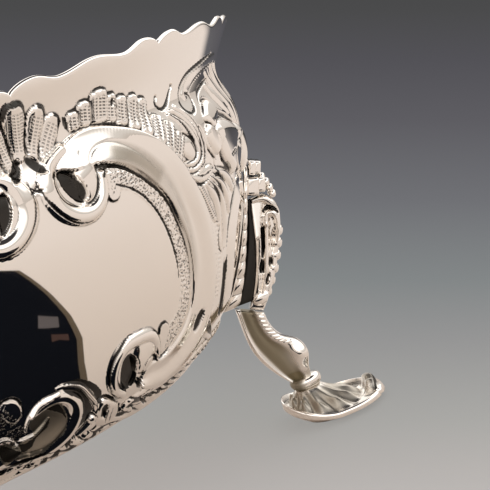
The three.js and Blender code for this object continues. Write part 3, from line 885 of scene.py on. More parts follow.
def chaseVolutes(sheet):
    # Top volute: a rolled ring round a tongue and a hollow, and the crescent between it and the palmette
    sheet.dome((7.5, 14.0), (1.7, 3.9), 1.12, turn=13, power=0.45)
    sheet.ridge([(5.6, 10.1), (2.8, 11.6), (1.7, 14.2), (2.3, 17), (4.6, 19), (7.3, 19.2), (9.3, 17.5),
                 (10, 15)],
                1.35, 0.9, ends=(0.8, 0.5), power=0.9, mode="max")
    sheet.groove([(0.5, 12.6), (0.8, 15.2), (2.1, 17.9), (4.4, 19.9), (7.0, 20.4)], 0.22, 0.2)
    # Painted shade darkens the hollow and the crescent beside it
    sheet.dome((5.15, 15.1), (1.2, 2.75), -1.0, turn=-24, power=0.45, mode="add", paintedShade=1)
    sheet.dome((1.4, 10.7), (0.75, 1.9), -0.55, turn=-32, mode="add", paintedShade=0.9)
    sheet.groove([(-0.7, 12.9), (0.1, 13.8), (1, 14.1)], 0.2, 0.22)

    # Lobes where the punched band ends
    for outline in ([(10.4, 15), (12, 15.4), (12.2, 18), (11.4, 19.2), (10.2, 19), (9.7, 17.8)],
                    [(16.6, 42), (17, 40.5), (18.3, 40.3), (19.4, 41.4), (19.8, 44), (18, 45.5)]):
        sheet.lobe(outline, 0.32, 0.3)

    # Lens cut into the crest low down
    sheet.dome((28.6, 43.7), (0.75, 2.1), -0.5, turn=33, mode="add", paintedShade=0.9)


def chaseLowerVolute(sheet, wide):
    # The small volute is a disc with a roll round it and an oval hollow. The wide one is drawn under it
    if not wide:
        sheet.dome((13.4, 44), (2.9, 3.3), 0.75, power=0.8)
        sheet.ridge([(8.6, 49.2), (6.4, 46.8), (6.3, 43.6), (8.3, 41), (11.4, 40.5), (14.6, 41.2),
                     (16.4, 43.6), (16.8, 46.2)], 1.25, 0.85, ends=(0.8, 0.5), power=0.9, mode="max")
        sheet.groove([(5.8, 47.6), (5.2, 44.6), (6.4, 41.6), (9.0, 39.6), (11, 39.2)], 0.25, 0.25)
        hollow = [(9.5, 42.4), (11.1, 43.4), (11.6, 45.8), (11.6, 48.3), (9.6, 48.9), (8.3, 48), (7.9, 45.6),
                  (8.5, 43.3)]
        sheet.dome((9.9, 45.7), (1.9, 3.2), -0.8, turn=-4, power=0.4, mode="add")
        # Painted shade: the oval hollow is filled black
        sheet.shade(hollow, 1.0)
        sheet.groove([(13.4, 47.6), (13, 45.4), (14.4, 44.5), (16, 45.2), (17.4, 46.2), (19.5, 45.9),
                      (22.4, 43.6)],
                     0.26, 0.22, paintedShade=0.55)
        return
    # On the wide side the punched ground runs on to a curl, and the ground is darkened with painted shade
    ground = [(13.4, 40.6), (17.5, 41), (18.5, 45), (17.5, 49.4), (14.5, 48.9), (12.6, 48.2), (11.4, 46.8),
              (11.9, 44)]
    sheet.shade(ground, 0.45)
    sheet.shade(ground, 1.0, "punch")
    sheet.lobe([(10.8, 43.6), (10.9, 41.5), (12.2, 40.5), (13.5, 41.2), (13.6, 43.2), (12.4, 44.4)], 0.2, 0.3)
    sheet.groove([(10.7, 44.2), (10.5, 42), (11.5, 40.3), (13.4, 40.3), (14.2, 41.6), (13.9, 43.4)],
                 0.26, 0.25)

    # The wide volute: a thin roll, a broad roll, and a dished disc that winds in once more
    disc = [(6.3, 43.7), (4.9, 43.8), (3.6, 46.2), (3.3, 48.6), (3.9, 50.7), (5.7, 52.2), (8.4, 53.4),
            (12.4, 52.4), (16.3, 50), (15.5, 47), (13.4, 48.1), (9.8, 48.2), (10.2, 46.5), (8.5, 44.5)]
    # Painted reflection: the disc is browned
    sheet.shade(disc, 0.75, "brownTone")
    sheet.dome((8, 48.9), (4.8, 4.6), -0.5, power=0.8, mode="add")
    sheet.ridge([(9.2, 44.4), (6.5, 43.6), (4.1, 43.7), (2.2, 45), (1.4, 47), (1.7, 49.2), (2.9, 51.5),
                 (5.1, 53.4), (7.9, 54.4), (12.5, 53.6), (16.6, 51.6)], 1.5, 0.8, ends=(0.45, 0.8),
                power=0.8, mode="max")
    sheet.ridge([(4.6, 41.9), (3.2, 41.9), (0.7, 43), (-1.2, 45.7), (-2.6, 48.5), (-2.1, 50.7), (-0.2, 53.1),
                 (2, 54.5)],
                0.5, 0.6, ends=(0.4, 0.5), mode="max")
    # Painted reflection: black bands beside and inside the rolls
    sheet.shade([(3.5, 42.5), (2, 43.1), (0.2, 44.5), (-1, 46.7), (-1.8, 48.6), (-1.1, 50.7), (0.9, 52.2),
                 (1.6, 52.9), (0.7, 50.7), (0.1, 48.5), (0.4, 46.3), (1.3, 44.8), (2.8, 43.5)], 1.0)
    sheet.shade([(4.1, 41.5), (1.8, 41.7), (0, 42.3), (-2, 43.9), (-3.6, 46), (-3.8, 47.7), (-3.1, 48.4),
                 (-2.3, 46.3), (-1.1, 44.4), (0.7, 42.8), (2.6, 41.9)], 1.0)
    sheet.shade([(6.8, 44.4), (5.2, 44.2), (3.9, 46.1), (3.5, 48.1), (4.2, 46.8), (5.6, 45.6)], 1.0)
    sheet.shade([(15.5, 47), (13.5, 48.8), (9.8, 49), (7.4, 46.8), (6.6, 46.3), (7, 47.9), (9.2, 49.2),
                 (10, 50.3), (11.2, 51.3), (16.1, 49.5)], 1.0)
    sheet.ridge([(13.5, 48.3), (11.4, 48.1), (9.8, 48.1), (8.1, 47.2), (6.8, 46.3)],
                0.36, 0.5, ends=(0.5, 0.4))
    sheet.ridge([(11.1, 47.2), (10.9, 46.4), (10.2, 45), (8.6, 43.5), (6.3, 42.8), (3.6, 42.7)], 0.4, 0.5)


def chaseWhorl(sheet):
    # Cockle whorl beside the comb: nested bars, each falling to a cut line
    sheet.dome((27.9, 16.6), (1.5, 2.2), 0.75, turn=-30, power=0.5)
    for width, rise, path in (
            (0.75, 0.55, [(27, 11.2), (28.9, 13.2), (30.2, 15.4), (30.5, 17.2), (29.8, 18.6), (27.6, 18.9),
                          (25, 18.2)]),
            (0.7, 0.6, [(28, 10.8), (30, 12.7), (31.1, 15), (31.5, 17.2), (30.6, 19.2), (28.2, 19.9),
                        (25.6, 19.1)]),
            (0.75, 0.55, [(29.4, 10.5), (31.3, 12.7), (32.2, 15.2), (32.6, 17.5), (31.8, 19.6),
                          (29.8, 20.6)])):
        sheet.ridge(path, width, rise, ends=(0.5, 0.4), power=0.7, mode="max")
    for path in ([(26.3, 10.6), (28.3, 12.6), (29.5, 15), (30, 17.2), (29.2, 18.4), (26.6, 18.6)],
                 [(27.5, 10.3), (29.8, 11.8), (30.9, 14), (31.3, 16.6), (30.8, 18.6), (28.8, 19.5),
                  (26.4, 19.2)],
                 [(29.2, 10.3), (31, 12), (32, 14.6), (32.3, 17.6), (31.4, 19.8), (29.4, 20.3)]):
        sheet.groove(path, 0.2, 0.3)
    sheet.groove([(27.1, 14.8), (27.7, 14.4), (28.6, 14.6), (29.5, 15.7), (29.4, 17.2)], 0.22, 0.3)

    # Sprout above it
    sheet.groove([(25.7, 8.2), (25.4, 9.2), (26.2, 10), (27.5, 9.8), (29, 8.8), (30.3, 7.5)],
                 0.34, 0.34, ends=(0.9, 1))
    sheet.dome((25.8, 8.2), (0.38, 0.38), -0.25, mode="add")
    sheet.dome((30.3, 7.5), (0.45, 0.45), -0.3, mode="add")

    # Spoon leaf under it
    sheet.lobe([(25.8, 19.8), (28.6, 20.6), (31.8, 20.3), (34.6, 20.9), (33.4, 22.2), (30.6, 22.7),
                (28, 21.9)],
               0.6, 0.8)
    sheet.groove([(25.8, 19.8), (27.6, 21.6), (30, 22.6), (32.8, 22.4), (34.8, 21.2)], 0.32, 0.42)
    sheet.groove([(28.6, 20.9), (30.6, 21.4), (33.2, 21.1)], 0.2, 0.14)


def chaseTendril(sheet):
    # Flat strap with a line along each edge, curling round at its end
    sheet.ridge([(50, 5.6), (45, 6), (40, 6.7), (36, 7.8), (33.4, 9.4)], 0.95, 0.22, ends=(0.8, 0.8),
                power=0.4)
    sheet.groove([(31.4, 10.4), (31.9, 9.1), (34, 7.3), (36.6, 6.3), (41, 5.5), (47, 4.6)], 0.36, 0.2)
    sheet.groove([(34, 9.3), (35.1, 9.5), (35.3, 10.8), (34.3, 12.1), (32.7, 12.2), (31.6, 11.2),
                  (31.4, 10.2)],
                 0.34, 0.34, ends=(0.9, 0.9))
    sheet.groove([(35.3, 9.2), (38, 8), (42.6, 6.9), (48, 6.2)], 0.36, 0.2)
    sheet.groove([(37, 11.6), (38.2, 10.2), (41, 9.2), (45, 8.4)], 0.36, 0.2)


def chaseLeaf(sheet):
    # Acanthus leaf: overlapping plates, the front ones higher, with a deep cut over its back
    sheet.lobe([(35.6, 13.6), (37, 12), (39.4, 11.2), (41, 12.2), (41.6, 14), (39.4, 15), (37.2, 15.6)],
               0.65, 0.9)
    sheet.lobe([(34.3, 16.4), (35, 14.9), (36.6, 14.8), (38, 16.4), (38.4, 19), (37, 19.6), (35.4, 18.4)],
               0.75, 0.8)
    sheet.lobe([(37.4, 17.6), (37.8, 15.4), (40, 14.9), (44, 15.4), (48.6, 16.6), (51.6, 18), (49.5, 19.2),
                (45.8, 21), (44.6, 24), (41, 22.6), (39.2, 20.8), (38.2, 19)], 1.05, 1.5, power=0.6)
    sheet.lobe([(45.4, 21.4), (47.6, 20), (50.6, 19.4), (53, 20.4), (51, 22.6), (48, 24.4), (46, 23.4)],
               0.6, 0.9)
    sheet.dome((38.3, 16.6), (1.0, 2.0), 0.35, turn=8, mode="add")
    sheet.groove([(38, 11.4), (39.6, 11.1), (41, 11.8), (41.6, 13.2), (43, 14.2), (46.2, 15.3), (50, 16.9),
                  (53, 17.4)],
                 0.55, 0.6, ends=(0.3, 0.3))
    sheet.groove([(35.6, 14), (36.2, 14.6), (37.4, 15.4)], 0.26, 0.3)
    sheet.groove([(34.4, 18), (35, 19), (36.6, 20.1)], 0.4, 0.45)
    sheet.groove([(32.3, 14.5), (33.3, 14.7), (33.6, 16.2), (34.2, 18.2), (35.4, 19.3)], 0.45, 0.5)
    sheet.groove([(38.4, 18.9), (38.9, 20.4), (39.8, 21.6), (41.2, 22.5), (42.2, 23.2)], 0.42, 0.6)
    sheet.groove([(43.4, 24.6), (44.2, 25.2), (45.4, 25.7)], 0.4, 0.5)
    sheet.groove([(41, 20.6), (42.4, 20.4), (44.2, 20.1)], 0.24, 0.2)
    sheet.groove([(46.2, 21.4), (46.2, 22.8), (46.9, 23.8), (48.2, 24.5)], 0.4, 0.3)
    sheet.groove([(35.8, 20.4), (36, 21.8), (37.2, 23.2), (39.4, 24.2)], 0.42, 0.5)
    sheet.dome((38.9, 24.5), (0.75, 0.3), -0.4, turn=8, mode="add")

    # Plates that fold over the neck behind it
    for path in ([(44.5, 7.6), (47.5, 10), (50.5, 13.4), (52.5, 17.4)], [(48, 6.6), (51.5, 9.6), (54.2, 13.4),
                                                                         (55.4, 18)],
                 [(52, 6.8), (55, 10), (57.4, 14), (58.2, 18.4)], [(42.6, 9.2), (45, 11.4), (48, 14.6)]):
        sheet.ridge(path, 1.35, 0.5, ends=(0.25, 0.4), power=0.8)
        sheet.groove([(u + 1.5, s - 0.5) for u, s in path], 0.3, 0.2, paintedShade=0.6)
    sheet.dome((49.2, 18.2), (1.7, 2.6), 0.45, turn=-20, power=0.8, mode="add")
    sheet.dome((55.4, 21.6), (2.8, 4.0), 1.3, turn=-10, power=0.6)
    sheet.groove([(52.6, 17), (52.8, 19.6), (52.4, 23)], 0.4, 0.3, paintedShade=0.9)


def chaseSpray(sheet):
    # Fronds that fan out from under the whorl and sweep down to the knee's panel
    fronds = [
        [(31.6, 23), (33.8, 24.8), (35.6, 27.5), (36.1, 30.4)],
        [(32.6, 22.7), (35.6, 24.8), (38, 27.8), (38.8, 31.4), (38.6, 34.6)],
        [(33.7, 22.5), (37.4, 24.2), (40, 26.8), (41.2, 29.6)],
        [(35.6, 21.9), (39, 23), (42, 24.8), (43.6, 26.6)],
    ]
    for path in fronds:
        sheet.ridge(path, 0.85, 0.5, ends=(0.25, 0.4), power=0.7, mode="max")
    for path in fronds:
        sheet.groove([(u + 0.95, s - 0.55) for u, s in path], 0.3, 0.25, ends=(0.4, 0.4), paintedShade=0.8)
    sheet.groove([(36.9, 30.6), (36.4, 32.6), (37, 34.6), (38, 35.4)], 0.32, 0.3)

    # A hatched leaf and a row of short cuts beside the scroll's edge
    leaf = [(29, 21.9), (30.4, 22.9), (32.2, 24.9), (33.8, 27.1), (35, 29.6), (33.9, 29.4), (32.2, 27),
            (30.4, 24.6)]
    sheet.lobe(leaf, 0.3, 0.4)
    sheet.stitches((29.6, 22.4), (34.2, 28.8), 0.8, 1.0)
    for s in np.arange(29.6, 43, 0.8):
        u = 34.9 + 2.4 * math.sin(min(1, (s - 29) / 11) * math.pi / 2)
        sheet.groove([(u - 0.7, s), (u + 0.7, s + 0.3)], 0.28, 0.12, ends=(0.6, 0.6), paintedShade=0.35)


def chaseKneePanel(sheet):
    # The smooth panel behind the knee: a low cushion, with a crescent scooped out beside it and filled with
    # painted shade
    side = [(46.4, 26.1), (43.1, 29), (41.2, 32.3), (40.6, 35), (41.1, 39.6), (43.2, 44.6), (44.9, 47.4)]
    sheet.lobe([(54, 25.4)] + side + [(50, 48.6), (55, 47), (57.5, 43), (57.5, 30)], 0.6, 3.2, power=0.7)
    sheet.groove(side[:4], 0.45, 0.3, paintedShade=0.8)
    sheet.shade([(40.8, 36.3), (39.9, 39), (39.5, 41.5), (40.1, 44), (41.9, 46.8), (44.6, 47.8), (43.4, 45),
                 (42.2, 42.3), (41.4, 39.3)], 1.0)
    sheet.dome((41, 42), (1.1, 5.6), -0.4, turn=-14, power=0.6, mode="add")


def chaseBorder(sheet):
    # Low fan between scroll and knee, and the slanting leaf strokes of the border under it
    for k in range(5):
        a = (31 + 1.2 * k, 44.4 + 0.5 * k)
        sheet.ridge([a, (a[0] + 3, a[1] + 3.2), (a[0] + 6.4, a[1] + 5)], 0.75, 0.42, ends=(0.3, 0.3),
                    power=0.6,
                    mode="max")
        sheet.groove([(a[0] + 0.6, a[1] - 0.1), (a[0] + 3.6, a[1] + 3), (a[0] + 6.8, a[1] + 4.8)], 0.24, 0.3)
    sheet.dome((30.7, 45.8), (0.6, 0.5), -0.35, mode="add")
    branch = pathThrough([(5, 54.9), (9, 53.6), (12, 53), (16, 53.6), (21, 54.4), (27, 54), (33, 53),
                          (40, 52.6), (50, 53), (60, 53)])
    sheet.groove([tuple(q) for q in branch[::9]], 0.3, 0.3, ends=(0.5, 1), paintedShade=1)
    for u in np.arange(7.5, 60, 2.6):
        s = float(np.interp(u, branch[:, 0], branch[:, 1]))
        for way in (-0.62, 1):
            sheet.ridge([(u, s + 0.3 * way), (u + 2.2, s + 1.5 * way), (u + 5, s + 2.3 * way)], 0.75, 0.45,
                        ends=(0.3, 0.3), power=0.7, mode="max")
            sheet.groove([(u + 0.5, s + 0.2 * way), (u + 3.1, s + 1.2 * way), (u + 6, s + 1.7 * way)],
                         0.3, 0.25, paintedShade=1)

    # Wavy moulding along the foot of the border
    sheet.ridge([(-1, 57), (3, 55.2), (6.5, 55), (10, 55.8), (14, 57.4), (19, 58.6), (26, 59.2), (34, 59.4),
                 (44, 59.2), (54, 58.8), (63, 58.8)], 0.8, 0.4, ends=(1, 1), mode="max")
    sheet.groove([(-1, 58), (3, 56.5), (6, 56.2), (9, 56.8), (13, 58.5), (18, 60), (26, 60.5), (34, 60.6),
                  (44, 60.4), (54, 60), (63, 60)], 0.5, 0.4, ends=(1, 1), paintedShade=1)
    for u in np.arange(1.5, 22, 3.4):
        s = float(np.interp(u, [0, 5, 9.5, 14.5, 20], [56.6, 56.3, 57.2, 58.8, 60]))
        sheet.groove([(u, s), (u + 1.6, s + 1.4), (u + 4.4, s + 2.3)], 0.34, 0.3, paintedShade=1)


def chaseKnot(sheet):
    # The knot of petals between the two lower volutes, drawn once and on no side of the middle line
    sheet.lobe([(2.2, 49), (3, 48), (4.4, 47.9), (6.2, 49), (7.9, 50.8), (8.2, 53.6), (6.6, 54.8), (4, 54.4),
                (2.6, 52.4)], 0.7, 0.7)
    sheet.groove([(2.1, 48.2), (3.2, 47.7), (4.4, 47.7), (6, 48.9), (7.7, 50.6)], 0.28, 0.35)
    sheet.dome((4.3, 50.4), (0.9, 1.7), -0.75, turn=-8, mode="add", paintedShade=1)
    sheet.groove([(5.3, 50.8), (5.2, 52.4), (5.4, 54)], 0.26, 0.35)
    sheet.groove([(6.3, 50.4), (6.2, 52.4), (6.4, 54)], 0.22, 0.3)
    sheet.dome((1.9, 51), (1.0, 0.85), 0.75, power=0.5)
    sheet.dome((1.9, 52.9), (1.5, 1.4), 0.6, power=0.5)
    sheet.groove([(0.6, 51.6), (0.9, 50.6), (1.9, 50.1), (2.8, 50.8)], 0.22, 0.35)
    sheet.groove([(7.9, 51.3), (8.6, 52.3), (8.6, 54)], 0.5, 0.6)
    sheet.dome((9.4, 52.7), (0.7, 0.4), -0.4, turn=-25, mode="add")
    sheet.groove([(9.6, 52.2), (11, 51.8), (13, 52.3), (15, 53.7), (18, 55.8), (21, 58)], 0.32, 0.4)
    sheet.ridge([(10, 53.2), (12, 52.9), (14, 54), (17, 56.2)], 0.9, 0.45, mode="max")
    sheet.dome((-2.7, 55.1), (0.75, 1.1), -0.6, turn=20, mode="add", paintedShade=1)
    sheet.groove([(-2.7, 52.8), (-1.6, 53.9), (-1, 55.2)], 0.26, 0.35)
    sheet.groove([(-6, 55.2), (-4.6, 54.8), (-3.2, 53.8)], 0.3, 0.35)
    for centre in ((-10, 57.4), (-9, 56.6), (-13, 58.4)):
        sheet.dome(centre, (0.5, 0.75), -0.45, turn=25, mode="add", paintedShade=0.9)
    for u in (-14, -11, -8, -5, -2, 1, 12, 15):
        sheet.ridge([(u, 54.6), (u + 1.8, 56.4), (u + 4.6, 57.6)], 0.95, 0.4, ends=(0.3, 0.4), mode="max")
        sheet.groove([(u + 1, 54.4), (u + 3, 56.2), (u + 5.4, 57.2)], 0.24, 0.25)


def chaseHalf(sheet, grain):
    # One half of a panel, drawn to the right of its middle line
    spec = scrollSpec
    chaseBorder(sheet)
    chaseKneePanel(sheet)
    sheet.band(spec["matInner"], spec["matOuter"], matProfile(grain), punched=True)
    chaseComb(sheet, combSpec)
    chaseLeaf(sheet)
    chaseSpray(sheet)
    chaseTendril(sheet)
    sheet.band(spec["inner"], spec["outer"], scrollProfile)
    sheet.groove([(9.8, 15.4), (11.2, 14.4), (14.8, 16.2), (18, 19.1), (20.6, 22.2), (22.6, 26), (24.5, 30.5),
                  (25.5, 35.2), (25.4, 39.6)], 0.34, 0.3, ends=(0.8, 0.2))
    sheet.groove([(11.6, 17.1), (14, 18.4), (16.4, 20.6), (18.8, 24), (20.8, 28.2), (22, 32.6), (22.3, 36)],
                 0.24, 0.16,
                 ends=(0.9, 0.2))
    sheet.groove([(9.8, 17.6), (10.2, 18.9), (11.2, 19.1), (12, 18.2)], 0.22, 0.2)
    sheet.groove([(16.6, 42), (17, 40.6), (18.2, 40.3), (19.3, 41.2)], 0.26, 0.25)
    sheet.groove([(26.9, 38.3), (26.2, 32.5), (25.2, 27.5), (23.4, 23.3), (21.6, 19.8), (19.5, 16.8),
                  (17.5, 14.4), (15.5, 12.7), (12.6, 11.5), (10, 11.7), (8.7, 12.7), (8.3, 14), (8.6, 15.4)],
                 0.5, 0.12,
                 ends=(0.2, 0.5), paintedShade=0.34)
    # Painted shade: the scroll's channel is browned, most towards its start
    sheet.tint(spec["channel"], 1.9, 0.3)
    sheet.tint(spec["channel"][:4], 2.0, 0.6)
    chaseWhorl(sheet)
    chasePalmette(sheet, petalSpec)
    chaseVolutes(sheet)
    chaseLowerVolute(sheet, sheet.mirrored)


def chasePanels(spec, u, s):
    # A panel is one half drawn on both sides of its middle line, then the knot, then what raises and fades
    # it all
    sheet = ChasedSheet(u, s)
    grain = makeGrain(spec)
    for mirrored in (False, True):
        sheet.mirrored = mirrored
        chaseHalf(sheet, grain)
    sheet.mirrored = False
    chaseKnot(sheet)
    low = 1 - smoothStep(s, *spec["fade"])
    sheet.height += spec["borderRise"] * smoothStep(s, *spec["border"])[:, None]
    # The painted shade fades away with the chasing
    return np.clip(sheet.height, *spec["heights"]) * low[:, None], sheet.paintedShade * low[:, None], sheet.marks


panelWidth = 2 * math.pi * wallSpec["unrollRadius"] / chaseSpec["panels"]
across = wallSpec["slabs"] * wallSpec["gridAcross"]
gridU = (np.arange(across) / across - 0.5 / wallSpec["slabs"]) * panelWidth
gridS = np.linspace(chaseSpec["sheetTop"], wallSpec["chasedDepth"], wallSpec["gridDown"])
chasedHeight, chasedShade, chasedMarks = chasePanels(chaseSpec, gridU, gridS)
print("chasing worked out, from", round(chasedHeight.min(), 2), "to", round(chasedHeight.max(), 2), "mm")


# Wall meshes: slabs round the bowl and a dish under them, each closed

def halfWave(x):
    # From 0 to 1 by half a cosine wave
    return 0.5 - 0.5 * np.cos(np.pi * np.clip(x, 0, 1))


def lobeHeight(share):
    # Height of the cut edge over the cusps' plane, at a share of one motif: up from the cusp to a narrow
    # lobe by a power of a sine, down to the dip and up to half of the wide lobe by half waves, and back the
    # same way
    cusp, narrow, dip, wide = wallSpec["edgeHeights"]
    first, second, third = wallSpec["edgePlaces"]
    f = np.minimum(share, 1 - share)
    up = cusp + (narrow - cusp) * np.sin(0.5 * np.pi * np.clip(f / first, 0, 1)) ** 0.6
    down = narrow + (dip - narrow) * halfWave((f - first) / (second - first))
    again = dip + (wide - dip) * halfWave((f - second) / (third - second))
    return np.where(f < first, up, np.where(f < second, down, again))


outline = splineThrough(wallSpec["stations"], 4000)
outlineLength = lengthsAlong(outline)
cuspLength = float(np.interp(wallSpec["cuspHeight"], outline[2500:, 1], outlineLength[2500:]))


def spun(angle):
    # Matrix that turns rows of points about the upright axis, by an angle in radians
    c, w = math.cos(angle), math.sin(angle)
    return np.array([[c, w, 0], [-w, c, 0], [0, 0, 1]])


def wallPlace(down, step=0.3):
    # Radius, height and outward normal of the plain wall, at a distance down it from the cusps' plane. The
    # normal is square to the line between the places a step before and behind
    length = cuspLength - np.asarray(down, float)
    place = [np.interp(length, outlineLength, outline[:, k]) for k in (0, 1)]
    ahead = [np.interp(length + step, outlineLength, outline[:, k]) for k in (0, 1)]
    behind = [np.interp(length - step, outlineLength, outline[:, k]) for k in (0, 1)]
    dr, dz = ahead[0] - behind[0], ahead[1] - behind[1]
    size = np.hypot(dr, dz) + 1e-12
    return place[0], place[1], dz / size, -dr / size


def softened(sheet, reach):
    # The sheet blurred: each height becomes the bell-weighted mean of those within twice the reach, wrapped
    # round
    steps = np.arange(-2 * reach, 2 * reach + 1)
    weights = np.exp(-(steps / reach) ** 2 * 1.5)
    weights /= weights.sum()
    padded = np.pad(sheet, ((2 * reach, 2 * reach), (0, 0)), mode="edge")
    rows = sum(w * padded[2 * reach + k:2 * reach + k + len(sheet)] for k, w in zip(steps, weights))
    return sum(w * np.roll(rows, k, axis=1) for k, w in zip(steps, weights))


def skinPoints(down, height, depth):
    # Radius and height of each grid point: the plain wall moved along its normal by the chasing less the
    # depth
    radius, level, out, up = wallPlace(down)
    move = height - depth
    return radius + out * move, level + up * move


def gridNormals(turn, radius, level):
    # Normals of one panel's grid, square to its slopes both ways; the next panel stands beside its last
    # column
    points = np.stack([radius * np.cos(turn), radius * np.sin(turn), level], -1)
    around = np.roll(points, -1, 1) - np.roll(points, 1, 1)
    turnOn = spun(2 * np.pi / chaseSpec["panels"])
    around[:, -1] = points[:, 0] @ turnOn - points[:, -2]
    around[:, 0] = points[:, 1] - points[:, -1] @ turnOn.T
    normals = np.cross(around, -np.gradient(points, axis=0))
    return normals / np.linalg.norm(normals, axis=-1, keepdims=True)


def gridFaces(first, rows, columns, stride, flip=False):
    # Four-cornered faces of a grid whose point (row, column) has the number first + row * stride + column
    r, c = np.meshgrid(np.arange(rows - 1), np.arange(columns - 1), indexing="ij")
    a = (first + r * stride + c).ravel()
    faces = np.stack([a, a + stride, a + stride + 1, a + 1], -1)
    return faces[:, ::-1] if flip else faces


def ringFaces(rings, count, flip=False):
    # Faces of a body of closed rings: quads between neighbours, and fans to two middle points that follow
    # the last ring's points, the first of them for the first ring
    r, c = np.meshgrid(np.arange(rings - 1), np.arange(count), indexing="ij")
    a, b = (r * count + c).ravel(), (r * count + (c + 1) % count).ravel()
    quads = np.stack([a, b, b + count, a + count], -1)
    c = np.arange(count)
    on, last = (c + 1) % count, (rings - 1) * count
    fans = np.concatenate([np.stack([np.full(count, rings * count), on, c], -1),
                           np.stack([np.full(count, rings * count + 1), last + c, last + on], -1)])
    return (quads[:, [0, 3, 2, 1]], fans[:, [0, 2, 1]]) if flip else (quads, fans)


def makeMesh(name, points, quads, triangles, normals=None, attributes=None):
    # A mesh from arrays in millimetres, with its own normals when they are given
    mesh = bpy.data.meshes.new(name)
    quads, triangles = np.asarray(quads, int).reshape(-1, 4), np.asarray(triangles, int).reshape(-1, 3)
    mesh.vertices.add(len(points))
    mesh.vertices.foreach_set("co", (np.asarray(points) * mm).astype(np.float32).ravel())
    loops = np.concatenate([quads.ravel(), triangles.ravel()])
    mesh.loops.add(len(loops))
    mesh.loops.foreach_set("vertex_index", loops.astype(np.int32))
    starts = np.concatenate([np.arange(len(quads)) * 4, 4 * len(quads) + np.arange(len(triangles)) * 3])
    mesh.polygons.add(len(starts))
    mesh.polygons.foreach_set("loop_start", starts.astype(np.int32))
    mesh.update(calc_edges=True)
    mesh.validate()
    mesh.shade_smooth()
    for key, values in (attributes or {}).items():
        layer = mesh.attributes.new(key, "FLOAT", "POINT")
        layer.data.foreach_set("value", np.asarray(values, np.float32).ravel())
    if normals is not None:
        mesh.normals_split_custom_set_from_vertices(np.asarray(normals, np.float32))
    thing = bpy.data.objects.new(name, mesh)
    bpy.context.scene.collection.objects.link(thing)
    return thing


